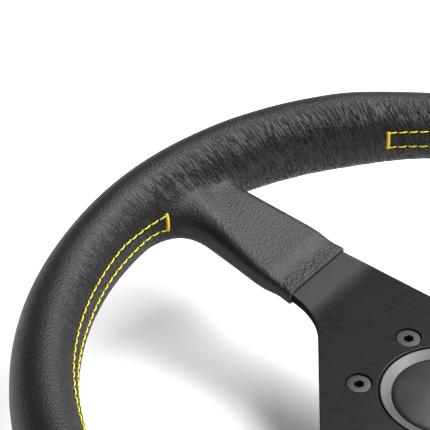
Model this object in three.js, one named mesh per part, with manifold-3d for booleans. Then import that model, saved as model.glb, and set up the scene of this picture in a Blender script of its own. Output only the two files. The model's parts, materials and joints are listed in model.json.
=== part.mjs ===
// A 350 mm leather-covered racing steering wheel on a ball-lock quick release hub.
// Millimetres. +Z points to the driver, +Y to the top of the wheel. The origin is the centre of the
// hub's rear end, where the wheel stands when it is laid down on its hub.
import * as THREE from "three";
import { mergeVertices } from "three/addons/utils/BufferGeometryUtils.js";
import Module from "manifold-3d";

const wasm = await Module();
wasm.setup();

// ---------------------------------------------------------------- driving dimensions

// Rim, over the leather
const rimDiameter = 350;
const gripWidth = 27; // radial
const depthAtTop = 32; // front to back
const depthAtHands = 38;
const depthBelow = 36;
const innerFullness = 0.6; // the grip's inner side stands out this much more than its outer side
const palmSwell = 0.9; // and this much more again where the palms rest
const palmSwellAt = 110; // degrees from the top
const palmSwellSpread = 22;
const leatherThickness = 1.2;
const coreWidth = 14; // flat metal ring inside the rim
const coreThickness = 5;

// Spoke plate
const plateThickness = 4;
const dish = 13.7; // plate front to the rim's middle plane
const bendAt = 68.8; // each spoke bends this far from the centre
const bendLength = 8;
const armTop = 44.5; // top edge of the two side arms
const armBottom = 4.5; // lower edge, where it meets the hub's slanted side
const armTopAtRim = 30;
const armBottomAtRim = 12;
const lowerSpokeHalfWidth = 20.5;
const lowerSpokeHalfWidthAtRim = 13;
const hubSideAngle = 52; // degrees below horizontal
const armFillet = 25; // inside corner between a side arm and the hub
const lowerFillet = 35; // inside corner between the hub and the lower spoke
const bareSlope = 13.2; // plate that shows between its bend and the leather
const leatherOnPlate = 7; // leather that lies straight on the plate, past the end of the foam
const foamAtEnd = 1.2; // foam over the plate just inside its end
const foamAtRim = 5.5; // foam over the plate where a spoke meets the rim
const foamSide = 1.8; // foam beside the plate's edges
const thumbRest = 18; // fillet under a side arm, where it runs into the rim
const crotch = 6; // fillet above a side arm

// Screws and rivets
const screwInset = 7.9; // from the horn button's hole to the centres of the six screws
const screwRadius = 2.5;
const screwHeadRadius = 5;
const screwLength = 10;
const screwSunk = 0.7; // head below the plate's front
const screwHeadRoom = 0.6; // around the head
const rivetRadius = 2.5;
const rivetSpread = 10; // each side of a spoke's middle

// Horn button
const hornHole = 27.1; // radius of the plate's centre hole
const bezelWidth = 4.8;
const bezelDrop = 1.8; // its conical face falls towards the cap
const hornTravel = 2.5;
const housingWall = 2;

// Quick release
const barrelWall = 5;
const boreRadius = 15.7;
const splineHeight = 1.5;
const splineCount = 12;
const splineLength = 10;
const barrelHeight = 26;
const flangeEdge = 8; // beyond the screw circle
const flangeThickness = 6;
const neckWall = 3.5;
const recessDepth = 17.3; // behind the plate, for the horn button
const ballCount = 6;
const ballProtrusion = 1.8; // into the bore when locked
const ballProud = 0.2; // beyond the barrel's outside when locked, where the collar's cone holds it
const ballTravel = 1.9;
const collarTravel = 5;
const collarWall = 5;
const collarFlange = 8; // how far the finger flange stands out
const springWire = 1.2;
const springTurns = 4;

// Clearances
const gap = 0.3; // between moulded, wrapped or cut pieces
const seat = 0.1; // between machined pieces that bear on each other
const slide = 0.25; // radial, between pieces that slide

// ---------------------------------------------------------------- derived places

const rimRadius = rimDiameter / 2 - gripWidth / 2;
const screwCircle = hornHole + screwInset; // 70 mm across, the usual six-hole circle
const flangeRadius = screwCircle + flangeEdge;
const barrelRadius = boreRadius + barrelWall;
const splineTip = boreRadius - splineHeight;
const leatherEnd = bendAt + bareSlope;
const foamEnd = leatherEnd + leatherOnPlate;
const ballRadius = (ballProtrusion + barrelWall + ballProud) / 2;
const ballCentre = boreRadius - ballProtrusion + ballRadius;
const clipBottom = 1;
const clipThickness = 1;
const washerTop = clipBottom + 2 * clipThickness + seat;
const collarBottom = washerTop + seat;
const ballHeight = collarBottom + collarTravel + ballRadius;
const flangeFloor = 4; // plate between the barrel and the recess
const recessFloor = barrelHeight + seat + flangeFloor;
const hubTop = recessFloor + recessDepth;
const plateBack = hubTop + seat;
const plateFront = plateBack + plateThickness;
const rimPlane = plateFront + dish;
const tongueStart = rimRadius - coreWidth / 2 - 13;
const tongueEnd = rimRadius + coreWidth / 4;
const tongueTop = rimPlane - coreThickness / 2 - seat;
const screwConeHeight = screwHeadRadius - screwRadius; // a 90 degree countersunk head
const screwConeBottom = plateFront - screwSunk - 0.3 - screwConeHeight;

// ---------------------------------------------------------------- shape helpers

/** A three.js geometry as a manifold-3d solid, its seams closed. */
function toSolid(geometry) {
  const bare = geometry.index ? geometry.toNonIndexed() : geometry.clone();
  bare.deleteAttribute("normal");
  bare.deleteAttribute("uv");
  const merged = mergeVertices(bare, 1e-3);
  return new wasm.Manifold(
    new wasm.Mesh({
      numProp: 3,
      vertProperties: merged.attributes.position.array,
      triVerts: new Uint32Array(merged.index.array),
    }),
  );
}

/** A manifold-3d solid as a three.js geometry. */
function toGeometry(solid) {
  const mesh = solid.getMesh();
  const positions = new Float32Array(mesh.numVert * 3);
  for (let i = 0; i < mesh.numVert; i++) {
    positions.set(mesh.vertProperties.subarray(i * mesh.numProp, i * mesh.numProp + 3), i * 3);
  }
  return new THREE.BufferGeometry()
    .setAttribute("position", new THREE.BufferAttribute(positions, 3))
    .setIndex(new THREE.BufferAttribute(new Uint32Array(mesh.triVerts), 1));
}

const join = (first, ...others) => others.reduce((sum, solid) => sum.add(solid), first);
const cut = (first, ...tools) => tools.reduce((rest, solid) => rest.subtract(solid), first);

/** A closed [radius, z] profile turned about the Z axis, its faces out whichever way it is listed. */
function turned(profile, segments = 32) {
  const area = profile.reduce((sum, [r, z], i) => {
    const [nextR, nextZ] = profile[(i + 1) % profile.length];
    return sum + r * nextZ - nextR * z;
  }, 0);
  const ordered = area > 0 ? profile : [...profile].reverse();
  const points = [...ordered, ordered[0]].map(([r, z]) => new THREE.Vector2(r, z));
  return toSolid(new THREE.LatheGeometry(points, segments).rotateX(Math.PI / 2));
}

function cylinder(radius, bottom, top, segments = 24) {
  const geometry = new THREE.CylinderGeometry(radius, radius, top - bottom, segments);
  return toSolid(geometry.rotateX(Math.PI / 2).translate(0, 0, (bottom + top) / 2));
}

function block(x0, x1, y0, y1, z0, z1) {
  const geometry = new THREE.BoxGeometry(x1 - x0, y1 - y0, z1 - z0);
  return toSolid(geometry.translate((x0 + x1) / 2, (y0 + y1) / 2, (z0 + z1) / 2));
}

/** A flat outline of [x, y] points, given a height. */
function prism(points, bottom, top) {
  const shape = new THREE.Shape(points.map(([x, y]) => new THREE.Vector2(x, y)));
  const geometry = new THREE.ExtrudeGeometry(shape, { depth: top - bottom, bevelEnabled: false });
  return toSolid(geometry.translate(0, 0, bottom));
}

const turnedBy = (degrees, solid) => solid.rotate([0, 0, degrees]);
const aroundCircle = (count, first = 0) =>
  Array.from({ length: count }, (_, i) => first + (360 / count) * i);

/** A polygon of [x, y, fillet radius] corners with each corner rounded to an arc. */
function rounded(corners, stepDegrees = 12) {
  const points = [];
  corners.forEach(([x, y, radius = 0], i) => {
    const here = new THREE.Vector2(x, y);
    const [bx, by] = corners[(i + corners.length - 1) % corners.length];
    const [ax, ay] = corners[(i + 1) % corners.length];
    const back = new THREE.Vector2(bx, by).sub(here);
    const ahead = new THREE.Vector2(ax, ay).sub(here);
    const room = 0.49 * Math.min(back.length(), ahead.length());
    back.normalize();
    ahead.normalize();
    const half = Math.acos(THREE.MathUtils.clamp(back.dot(ahead), -1, 1)) / 2;
    const tangent = Math.min(radius / Math.tan(half), room);
    if (tangent < 0.05) {
      points.push([x, y]);
      return;
    }
    const arcRadius = tangent * Math.tan(half);
    const centre = here.clone().add(back.clone().add(ahead).setLength(arcRadius / Math.sin(half)));
    const start = here.clone().addScaledVector(back, tangent).sub(centre);
    const turn = Math.PI - 2 * half;
    const side = Math.sign(ahead.cross(back)) || 1;
    const steps = Math.max(1, Math.round(THREE.MathUtils.radToDeg(turn) / stepDegrees));
    for (let k = 0; k <= steps; k++) {
      const at = start.clone().rotateAround(new THREE.Vector2(), (side * turn * k) / steps);
      points.push([centre.x + at.x, centre.y + at.y]);
    }
  });
  return points;
}

const smooth = (x, from, to) => THREE.MathUtils.smoothstep(x, from, to);

// ---------------------------------------------------------------- spokes: where the plate runs

/** The plate's middle height at a distance from the centre along a spoke: flat, bent up, flat tongue. */
function plateMiddle(distance) {
  const low = plateBack + plateThickness / 2;
  const high = tongueTop - plateThickness / 2;
  const slope = (high - low) / (tongueStart - bendAt);
  const bend = (at) => {
    const inside = THREE.MathUtils.clamp((distance - at) / bendLength + 0.5, 0, 1);
    const beyond = Math.max(0, distance - at - bendLength / 2);
    return (inside * inside * bendLength) / 2 + beyond;
  };
  return low + slope * (bend(bendAt) - bend(tongueStart));
}

const bendPoints = (at) => [-0.5, -0.25, 0, 0.25, 0.5].map((share) => at + share * bendLength);

/** Foam over the plate's faces at a distance from the centre. */
function foamOver(distance) {
  const start = smooth(distance, foamEnd - 0.5, foamEnd + 3.5);
  const growth = smooth(distance, foamEnd, tongueStart);
  return start * foamAtEnd + growth * (foamAtRim - foamAtEnd);
}

/** A band that follows the plate's height along a spoke, extruded across the spoke's whole width.
 *  halfThickness is a function of the distance from the centre. */
function spokeBand(from, to, stations, halfThickness) {
  const inside = stations.filter((s) => s > from + 0.1 && s < to - 0.1);
  const along = [from, ...inside.sort((a, b) => a - b), to];
  const upper = along.map((s) => [s, plateMiddle(s) + halfThickness(s)]);
  const lower = along.map((s) => [s, plateMiddle(s) - halfThickness(s)]).reverse();
  const reach = rimDiameter;
  return prism([...upper, ...lower], -reach / 2, reach / 2).rotate([90, 0, 0]);
}

// ---------------------------------------------------------------- spoke plate

const hubSideSlope = Math.tan(THREE.MathUtils.degToRad(hubSideAngle));
const hubCornerX = bendAt - 0.8;
const lowerCornerY = armBottom - (hubCornerX - lowerSpokeHalfWidth) * hubSideSlope;

/** The plate's outline, or the same outline grown by an offset on its arms. */
function plateOutline(grow = 0, end = tongueEnd) {
  const rightHalf = [
    [lowerSpokeHalfWidthAtRim + grow, -end, 3],
    [lowerSpokeHalfWidth + grow, lowerCornerY, lowerFillet],
    [hubCornerX, armBottom - grow, armFillet],
    [end, armBottomAtRim - grow, 3],
    [end, armTopAtRim + grow, 3],
    [bendAt, armTop + grow, armFillet],
  ];
  const leftHalf = rightHalf.map(([x, y, radius]) => [-x, y, radius]).reverse();
  return rounded([...rightHalf, ...leftHalf]);
}

/** How wide a side arm's plate is at a distance from the centre: its lower and its upper edge. */
function armEdges(distance) {
  const { lerp } = THREE.MathUtils;
  const low = Math.max(0, (distance - hubCornerX) / (tongueEnd - hubCornerX));
  const high = Math.max(0, (distance - bendAt) / (tongueEnd - bendAt));
  return [lerp(armBottom, armBottomAtRim, low), lerp(armTop, armTopAtRim, high)];
}

/** The same for the lower spoke. */
function lowerEdges(distance) {
  const share = (distance + lowerCornerY) / (tongueEnd + lowerCornerY);
  const half = THREE.MathUtils.lerp(lowerSpokeHalfWidth, lowerSpokeHalfWidthAtRim, share);
  return [-half, half];
}

/** The T-shaped stack of bands: one across both arms, one down the lower spoke. */
function threeSpokes(from, to, stations, halfThickness) {
  const arm = spokeBand(from, to, stations, halfThickness);
  const reach = rimDiameter;
  const armZone = block(-reach, reach, armBottom - 30, armTop + 30, -reach, reach);
  const arms = join(arm, turnedBy(180, arm)).intersect(armZone);
  const lowerZone = block(-60, 60, -reach, reach, -reach, reach);
  return join(arms, turnedBy(-90, arm).intersect(lowerZone));
}

/** The countersunk hole of a hub screw, on the +X side of the screw circle. */
function screwHole(clearance, bottom) {
  const headHole = screwHeadRadius + screwHeadRoom;
  return turned(
    [
      [0, bottom],
      [screwRadius + clearance, bottom],
      [screwRadius + clearance, screwConeBottom + clearance - 1.5 * seat],
      [headHole, screwConeBottom + screwConeHeight + screwHeadRoom - 1.5 * seat],
      [headHole, plateFront + 1],
      [0, plateFront + 1],
    ],
    12,
  ).translate([screwCircle, 0, 0]);
}

function makeSpokePlate() {
  const stations = [...bendPoints(bendAt), ...bendPoints(tongueStart)];
  const half = () => plateThickness / 2;
  const outer = threeSpokes(0, tongueEnd, stations, half);
  const middle = block(-75, 75, lowerCornerY, armTop + 5, plateBack, plateFront);
  const flatOnly = block(
    -(bendAt - bendLength / 2), bendAt - bendLength / 2,
    -(bendAt - bendLength / 2), armTop + 5, plateBack, plateFront,
  );
  const sheet = join(outer, middle.intersect(flatOnly));
  const hole = cylinder(hornHole, plateBack - 1, plateFront + 1, 40);
  const screwHoles = aroundCircle(6, 30).map((angle) => turnedBy(angle, screwHole(slide, plateBack - 1)));
  const rivetHoles = rivetPlaces().map(([x, y]) =>
    cylinder(rivetRadius + seat, plateBack, rimPlane, 8).translate([x, y, 0]),
  );
  const outline = prism(plateOutline(), plateBack - 1, rimPlane);
  return cut(sheet.intersect(outline), hole, ...screwHoles, ...rivetHoles);
}

// ---------------------------------------------------------------- rim

/** Half the rim's depth over the leather at an angle from the top of the wheel, in degrees. */
function halfDepth(fromTop) {
  const hands = smooth(fromTop, 36, 54) * (1 - smooth(fromTop, 88, 114));
  const below = smooth(fromTop, 88, 114);
  return (depthAtTop + hands * (depthAtHands - depthAtTop) + below * (depthBelow - depthAtTop)) / 2;
}

/** How much further than half the grip's width its inner side stands out. */
function fullness(fromTop) {
  const away = (fromTop - palmSwellAt) / palmSwellSpread;
  return innerFullness + palmSwell * Math.exp(-away * away);
}

/** The closed rim, set in from the leather's outside by an inset. */
function rimRing(inset) {
  const geometry = new THREE.TorusGeometry(rimRadius, gripWidth / 2, 12, 36);
  const position = geometry.attributes.position;
  const uv = geometry.attributes.uv;
  for (let i = 0; i < position.count; i++) {
    const around = uv.getX(i) * 2 * Math.PI;
    const section = uv.getY(i) * 2 * Math.PI;
    const degrees = THREE.MathUtils.radToDeg(around);
    const fromTop = Math.abs(((degrees - 90 + 180 + 360) % 360) - 180);
    const side = Math.cos(section);
    const halfWidth = gripWidth / 2 - inset + (side < 0 ? fullness(fromTop) : 0);
    const radius = rimRadius + halfWidth * side;
    const height = (halfDepth(fromTop) - inset) * Math.sin(section);
    position.setXYZ(i, radius * Math.cos(around), radius * Math.sin(around), rimPlane + height);
  }
  return toSolid(geometry);
}

/** A solid skinned through a list of closed rings that have the same number of points. */
function skinned(rings) {
  const size = rings[0].length;
  const corners = [];
  for (let k = 0; k + 1 < rings.length; k++) {
    for (let i = 0; i < size; i++) {
      const j = (i + 1) % size;
      corners.push(rings[k][i], rings[k][j], rings[k + 1][j]);
      corners.push(rings[k][i], rings[k + 1][j], rings[k + 1][i]);
    }
  }
  const last = rings.length - 1;
  for (let i = 1; i + 1 < size; i++) {
    corners.push(rings[0][0], rings[0][i + 1], rings[0][i]);
    corners.push(rings[last][0], rings[last][i], rings[last][i + 1]);
  }
  return toSolid(new THREE.BufferGeometry().setFromPoints(corners));
}

/** How far a fillet of a given radius has flared out at a distance from the centre. */
function flare(distance, radius) {
  const into = THREE.MathUtils.clamp(distance - (rimRadius - gripWidth / 2 + 2 - radius), 0, radius);
  return radius - Math.sqrt(radius * radius - into * into);
}

/** A foam-padded spoke along +X, set in from the leather's outside by an inset. */
function paddedSpoke(from, inset, edges, lowFillet, highFillet) {
  const skin = leatherThickness + gap - inset; // leather and its gap over the plate or foam
  const inner = rimRadius - gripWidth / 2 + 2;
  const stations = [
    from, foamEnd - 0.5, foamEnd + 1, foamEnd + 3.5, foamEnd + 15, foamEnd + 27, inner - lowFillet,
    ...[0.5, 0.75, 0.9, 1].map((share) => inner - lowFillet * (1 - share)),
    rimRadius,
  ];
  const rings = stations.sort((a, b) => a - b).map((s) => {
    const over = foamOver(s);
    const side = skin + Math.min(over, foamSide);
    const half = plateThickness / 2 + skin + over;
    const [low, high] = edges(s);
    const bottom = low - side - flare(s, lowFillet) * 0.8;
    const top = high + side + flare(s, highFillet) * 0.8;
    const radius = Math.max(0.5, 0.6 + over * 0.95 + leatherThickness - inset);
    const corner = (y, z, first) =>
      [0, 45, 90].map((turn) => {
        const angle = THREE.MathUtils.degToRad(first + turn);
        return new THREE.Vector3(
          s, y + radius * Math.cos(angle), plateMiddle(s) + z + radius * Math.sin(angle),
        );
      });
    return [
      ...corner(top - radius, half - radius, 0),
      ...corner(bottom + radius, half - radius, 90),
      ...corner(bottom + radius, radius - half, 180),
      ...corner(top - radius, radius - half, 270),
    ];
  });
  return skinned(rings);
}

/** The covered rim and spokes as one lump, set in from the leather's outside by an inset. */
function coveredWheel(inset, spokesFrom) {
  const arm = paddedSpoke(spokesFrom, inset, armEdges, thumbRest, crotch);
  const lower = paddedSpoke(spokesFrom, inset, lowerEdges, 12, 12);
  return join(rimRing(inset), arm, arm.mirror([1, 0, 0]), turnedBy(-90, lower));
}

const coreSection = (grow) => [
  [rimRadius - coreWidth / 2 - grow, rimPlane - coreThickness / 2 - grow],
  [rimRadius + coreWidth / 2 + grow, rimPlane - coreThickness / 2 - grow],
  [rimRadius + coreWidth / 2 + grow, rimPlane + coreThickness / 2 + grow],
  [rimRadius - coreWidth / 2 - grow, rimPlane + coreThickness / 2 + grow],
];

/** The two rivets of each spoke, as [x, y] places on the metal ring. */
function rivetPlaces() {
  const armY = (armTopAtRim + armBottomAtRim) / 2;
  const spread = Math.min(rivetSpread, (armTopAtRim - armBottomAtRim) / 2 - rivetRadius - 1);
  const onRing = (y) => Math.sqrt(rimRadius * rimRadius - y * y) - 2;
  return [
    [onRing(armY + spread), armY + spread],
    [onRing(armY - spread), armY - spread],
    [-onRing(armY + spread), armY + spread],
    [-onRing(armY - spread), armY - spread],
    [spread, -onRing(spread)],
    [-spread, -onRing(spread)],
  ];
}

const rivetHead = 2;

function rivet() {
  const under = tongueTop - plateThickness - seat;
  const over = rimPlane + coreThickness / 2 + seat;
  return turned(
    [
      [0, under - rivetHead],
      [2 * rivetRadius * 0.55, under - rivetHead],
      [1.8 * rivetRadius, under],
      [rivetRadius, under],
      [rivetRadius, over],
      [1.8 * rivetRadius, over],
      [2 * rivetRadius * 0.55, over + rivetHead],
      [0, over + rivetHead],
    ],
    8,
  );
}

function makeCoreRing() {
  const holes = rivetPlaces().map(([x, y]) =>
    cylinder(rivetRadius + seat, rimPlane - coreThickness, rimPlane + coreThickness, 8)
      .translate([x, y, 0]),
  );
  return cut(turned(coreSection(0), 36), ...holes);
}

function makeFoam() {
  const lump = coveredWheel(leatherThickness + gap, foamEnd);
  const stations = [...bendPoints(bendAt), ...bendPoints(tongueStart)];
  const channel = threeSpokes(foamEnd - 5, tongueEnd + gap, stations, () => plateThickness / 2 + gap);
  const channelOutline = prism(plateOutline(gap, tongueEnd + gap), plateBack - 5, rimPlane + 5);
  const pockets = rivetPlaces().map(([x, y]) =>
    cylinder(
      1.8 * rivetRadius + 2 * gap,
      tongueTop - plateThickness - rivetHead - 2 * gap,
      rimPlane + coreThickness / 2 + rivetHead + 2 * gap,
      8,
    ).translate([x, y, 0]),
  );
  return cut(lump, turned(coreSection(gap), 36), channel.intersect(channelOutline), ...pockets);
}

/** The leather cover, open where it stops on each spoke. */
function makeLeather() {
  return cut(coveredWheel(0, leatherEnd), coveredWheel(leatherThickness, leatherEnd - 2));
}

// ---------------------------------------------------------------- hub screws

function makeHubScrew() {
  const top = plateFront - screwSunk;
  const body = turned(
    [
      [0, top - screwLength],
      [screwRadius, top - screwLength],
      [screwRadius, screwConeBottom],
      [screwHeadRadius, screwConeBottom + screwConeHeight],
      [screwHeadRadius, top],
      [0, top],
    ],
    12,
  );
  const hexAcross = 0.34 * 2 * screwHeadRadius;
  const socket = cylinder(hexAcross / Math.sqrt(3), top - 2, top + 1, 6);
  return cut(body, socket);
}

// ---------------------------------------------------------------- horn button

const bezelOuter = hornHole - 0.7;
const bezelInner = bezelOuter - bezelWidth;
const bezelBottom = plateFront - 3.5;
const capRadius = bezelInner - 0.4;
const housingFloorTop = recessFloor + 7.7;
const housingFloor = 1.8;
const ledge = 2; // the housing's flange, trapped under the plate
const ledgeRadius = hornHole + 3.9;
const discTop = plateFront - 7.2;
const discThickness = 0.8;
const discBottom = discTop - discThickness;
const studRadius = 2.5;
const hornSpringRadius = 7;

function makeHornHousing() {
  const outer = bezelOuter - 0.2;
  const inner = outer - housingWall;
  const body = turned([
    [0, housingFloorTop - housingFloor],
    [outer, housingFloorTop - housingFloor],
    [outer, hubTop - ledge],
    [ledgeRadius, hubTop - ledge],
    [ledgeRadius, hubTop],
    [outer, hubTop],
    [outer, bezelBottom - seat],
    [inner, bezelBottom - seat],
    [inner, housingFloorTop],
    [0, housingFloorTop],
  ]);
  const studHole = cylinder(studRadius + seat, 0, housingFloorTop + 1, 12);
  const slots = terminalPlaces.map(([x]) =>
    block(x - 0.5, x + 0.5, -2.5, 2.5, 0, housingFloorTop + 1),
  );
  return cut(body, studHole, ...slots);
}

const terminalPlaces = [[-14], [14]];

function makeTerminal(x) {
  const blade = block(x - 0.4, x + 0.4, -2.4, 2.4, housingFloorTop - 6.2, housingFloorTop + 0.9);
  const inward = -Math.sign(x);
  const foot = block(
    Math.min(x, x + inward * 3), Math.max(x, x + inward * 3),
    -2.4, 2.4, housingFloorTop + seat, housingFloorTop + 0.9,
  );
  return join(blade, foot);
}

function makeHornBezel() {
  const spigotOuter = bezelOuter - 0.2 - housingWall - seat;
  const spigotInner = spigotOuter - 1.6;
  return turned([
    [bezelOuter, bezelBottom],
    [bezelOuter, plateFront - 0.3],
    [bezelOuter - 0.5, plateFront + 0.2],
    [bezelInner + 0.4, plateFront + 0.2 - bezelDrop],
    [bezelInner, plateFront - bezelDrop - 0.3],
    [bezelInner, bezelBottom],
    [spigotInner, bezelBottom],
    [spigotInner, bezelBottom - 3],
    [spigotOuter, bezelBottom - 3],
    [spigotOuter, bezelBottom],
  ]);
}

function makeHornCap() {
  const edge = plateFront - bezelDrop;
  const crown = 2.2; // how far the middle stands above the edge
  const wall = 1.6;
  const dome = (radius, height) =>
    [1, 0.75, 0.4].map((share) => [radius * share, height + crown * (1 - share * share)]);
  const lipRadius = bezelOuter - 0.2 - housingWall - seat - 1.6 - 0.3;
  return turned([
    ...dome(capRadius, edge),
    [0, edge + crown],
    [0, discTop + seat],
    [3, discTop + seat],
    [3, edge - wall],
    [capRadius - wall, edge - wall - 0.2],
    [capRadius - wall, bezelBottom - 1.1],
    [lipRadius, bezelBottom - 1.1],
    [lipRadius, bezelBottom - seat],
    [capRadius, bezelBottom - seat],
  ]);
}

function makeContactDisc() {
  return turned([
    [0, discBottom],
    [12, discBottom],
    [12, discTop],
    [0, discTop],
  ], 20);
}

function makeContactStud() {
  const top = discBottom - hornTravel - seat;
  return turned([
    [0, housingFloorTop - 5],
    [studRadius, housingFloorTop - 5],
    [studRadius, top - 0.6],
    [studRadius - 0.6, top],
    [0, top],
  ], 12);
}

/** A compression spring standing on a bottom height, its wire's outside reaching both heights. */
function makeSpring(radius, wire, turns, bottom, top) {
  const rise = top - bottom - wire;
  class Coil extends THREE.Curve {
    getPoint(t, target = new THREE.Vector3()) {
      const angle = t * turns * 2 * Math.PI;
      const endCoil = 0.75 / turns; // each end lies flat for three quarters of a turn
      const lift = THREE.MathUtils.clamp((t - endCoil) / (1 - 2 * endCoil), 0, 1);
      const climb = lift * (rise - 1.6 * wire) + wire * 0.8 * Math.min(1, t / endCoil)
        + wire * 0.8 * THREE.MathUtils.clamp((t - 1 + endCoil) / endCoil, 0, 1);
      return target.set(radius * Math.cos(angle), radius * Math.sin(angle), bottom + wire / 2 + climb);
    }
  }
  const section = new THREE.Shape(
    aroundCircle(6).map((a) => {
      const angle = THREE.MathUtils.degToRad(a);
      return new THREE.Vector2((wire / 2) * Math.cos(angle), (wire / 2) * Math.sin(angle));
    }),
  );
  return toSolid(
    new THREE.ExtrudeGeometry(section, {
      steps: Math.round(turns * 10),
      extrudePath: new Coil(),
      bevelEnabled: false,
    }),
  );
}

// ---------------------------------------------------------------- quick release hub

const recessRadius = ledgeRadius - 2.5;
const neckRadius = recessRadius + neckWall;
const barrelScrewCircle = (boreRadius + barrelRadius) / 2;

function makeAdapterFlange() {
  const bottom = barrelHeight + seat;
  const flangeBottom = hubTop - flangeThickness;
  const body = turned([
    [5, bottom],
    [neckRadius - 2, bottom],
    [neckRadius, bottom + 2],
    [neckRadius, flangeBottom - 3],
    [neckRadius + 3, flangeBottom],
    [flangeRadius - 1, flangeBottom],
    [flangeRadius, flangeBottom + 1],
    [flangeRadius, hubTop - 1],
    [flangeRadius - 1, hubTop],
    [ledgeRadius + 0.2, hubTop],
    [ledgeRadius + 0.2, hubTop - ledge - seat],
    [recessRadius, hubTop - ledge - seat],
    [recessRadius, recessFloor],
    [5, recessFloor],
  ]);
  const threaded = aroundCircle(6, 30).map((angle) =>
    turnedBy(angle, screwHole(seat, flangeBottom - 4)),
  );
  const through = aroundCircle(4, 45).map((angle) =>
    turnedBy(angle, cylinder(1.7, bottom - 1, recessFloor + 1, 8).translate([barrelScrewCircle, 0, 0])),
  );
  const scallops = aroundCircle(6, 0).map((angle) =>
    turnedBy(angle, cylinder(7, flangeBottom - 1, hubTop + 1, 12).translate([flangeRadius + 4, 0, 0])),
  );
  return cut(body, ...threaded, ...through, ...scallops);
}

function makeBarrelScrew() {
  const head = recessFloor + seat;
  return turned([
    [0, barrelHeight - 6],
    [1.5, barrelHeight - 6],
    [1.5, head],
    [2.7, head],
    [2.7, head + 2.4],
    [2.3, head + 2.8],
    [0, head + 2.8],
  ], 8).translate([barrelScrewCircle, 0, 0]);
}

const ringMiddle = boreRadius + 0.3;
const ringWire = 1;
const ringHeight = 4.6;

function makeSocketBarrel() {
  const body = turned([
    [boreRadius, 1],
    [boreRadius + 1, 0],
    [barrelRadius - 0.8, 0],
    [barrelRadius, 0.8],
    [barrelRadius, clipBottom],
    [barrelRadius - 1.1, clipBottom],
    [barrelRadius - 1.1, clipBottom + clipThickness],
    [barrelRadius, clipBottom + clipThickness],
    [barrelRadius, barrelHeight],
    [splineTip, barrelHeight],
    [splineTip, barrelHeight - splineLength],
    [boreRadius, barrelHeight - splineLength - 1.5],
  ]);
  const toothGap = (2 * Math.PI * boreRadius) / splineCount / 2;
  const grooves = aroundCircle(splineCount).map((angle) =>
    turnedBy(
      angle,
      block(
        splineTip - 2, boreRadius, -toothGap / 2, toothGap / 2,
        barrelHeight - splineLength - 2, barrelHeight + 1,
      ),
    ),
  );
  const ballHole = cylinder(ballRadius + seat, 0, barrelRadius + 5, 12).rotate([0, 90, 0]);
  const ballHoles = ballAngles.map((angle) => turnedBy(angle, ballHole.translate([0, 0, ballHeight])));
  const screwHoles = aroundCircle(4, 45).map((angle) =>
    turnedBy(angle, cylinder(1.6, barrelHeight - 7, barrelHeight + 1, 8).translate([barrelScrewCircle, 0, 0])),
  );
  return cut(body, ringTorus(ringWire + 0.15), ...grooves, ...ballHoles, ...screwHoles);
}

const ballAngles = aroundCircle(ballCount, 0);

const ringTorus = (wire) =>
  toSolid(new THREE.TorusGeometry(ringMiddle, wire, 6, 24).translate(0, 0, ringHeight));

function makeCirclip() {
  const inner = barrelRadius - 0.9;
  const ring = turned([
    [inner, clipBottom + 0.05],
    [barrelRadius + 1.7, clipBottom + 0.05],
    [barrelRadius + 1.7, clipBottom + clipThickness - 0.05],
    [inner, clipBottom + clipThickness - 0.05],
  ]);
  return cut(ring, prism([[0, 0], [40, -7], [40, 7]], 0, 5));
}

function makeStopWasher() {
  return turned([
    [barrelRadius + slide, clipBottom + clipThickness + seat],
    [barrelRadius + 5.3, clipBottom + clipThickness + seat],
    [barrelRadius + 5.3, washerTop],
    [barrelRadius + slide, washerTop],
  ]);
}

const coneSlope = ballTravel / collarTravel;
const ballContact = ballCentre + ballRadius * Math.hypot(1, coneSlope) + 0.05;
const guideRadius = barrelRadius + slide;
const coneTop = ballHeight + (ballContact - guideRadius) / coneSlope;
const coneBottom = ballHeight - collarTravel;
const reliefRadius = ballContact + ballTravel;
const collarTop = barrelHeight + seat - collarTravel - 0.6;
const pocketFloor = collarTop - 5;
const collarRadius = reliefRadius + collarWall;
const pocketRadius = collarRadius - 1.8;

function makeReleaseCollar() {
  const flangeMiddle = collarBottom + 6.5;
  const body = turned([
    [reliefRadius, collarBottom],
    [collarRadius - 1, collarBottom],
    [collarRadius, collarBottom + 1],
    [collarRadius, flangeMiddle - 2.5],
    [collarRadius + collarFlange - 1, flangeMiddle - 2],
    [collarRadius + collarFlange, flangeMiddle - 1],
    [collarRadius + collarFlange, flangeMiddle + 1],
    [collarRadius + collarFlange - 1, flangeMiddle + 2],
    [collarRadius, flangeMiddle + 2.5],
    [collarRadius, collarTop - 0.6],
    [collarRadius - 0.6, collarTop],
    [pocketRadius, collarTop],
    [pocketRadius, pocketFloor],
    [guideRadius, pocketFloor],
    [guideRadius, coneTop],
    [reliefRadius, coneBottom],
  ]);
  const fingerNotches = aroundCircle(8, 22.5).map((angle) =>
    turnedBy(angle, cylinder(4, collarBottom, collarTop, 12).translate([collarRadius + collarFlange + 2, 0, 0])),
  );
  return cut(body, ...fingerNotches);
}

const makeBall = () =>
  toSolid(new THREE.IcosahedronGeometry(ballRadius, 1).translate(ballCentre, 0, ballHeight));

// ---------------------------------------------------------------- materials

const finish = (color, roughness, metalness) =>
  new THREE.MeshStandardMaterial({ color, roughness, metalness });

const blackLeather = finish(0x262626, 0.6, 0);
const paddingFoam = finish(0x3a3a38, 0.9, 0);
const blackAnodised = finish(0x2a2a2b, 0.45, 0.8);
const bareAluminium = finish(0xb9bcc0, 0.4, 1);
const blackSteel = finish(0x303031, 0.4, 0.9);
const brightSteel = finish(0xc4c6c9, 0.25, 1);
const springSteel = finish(0x8f9296, 0.35, 1);
const brass = finish(0xc8a24c, 0.3, 1);
const blackPlastic = finish(0x1c1c1c, 0.5, 0);
const greyBezel = finish(0x5c5c5e, 0.5, 0.3);
const blackRubber = finish(0x191919, 0.85, 0);

// ---------------------------------------------------------------- the assembly

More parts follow.
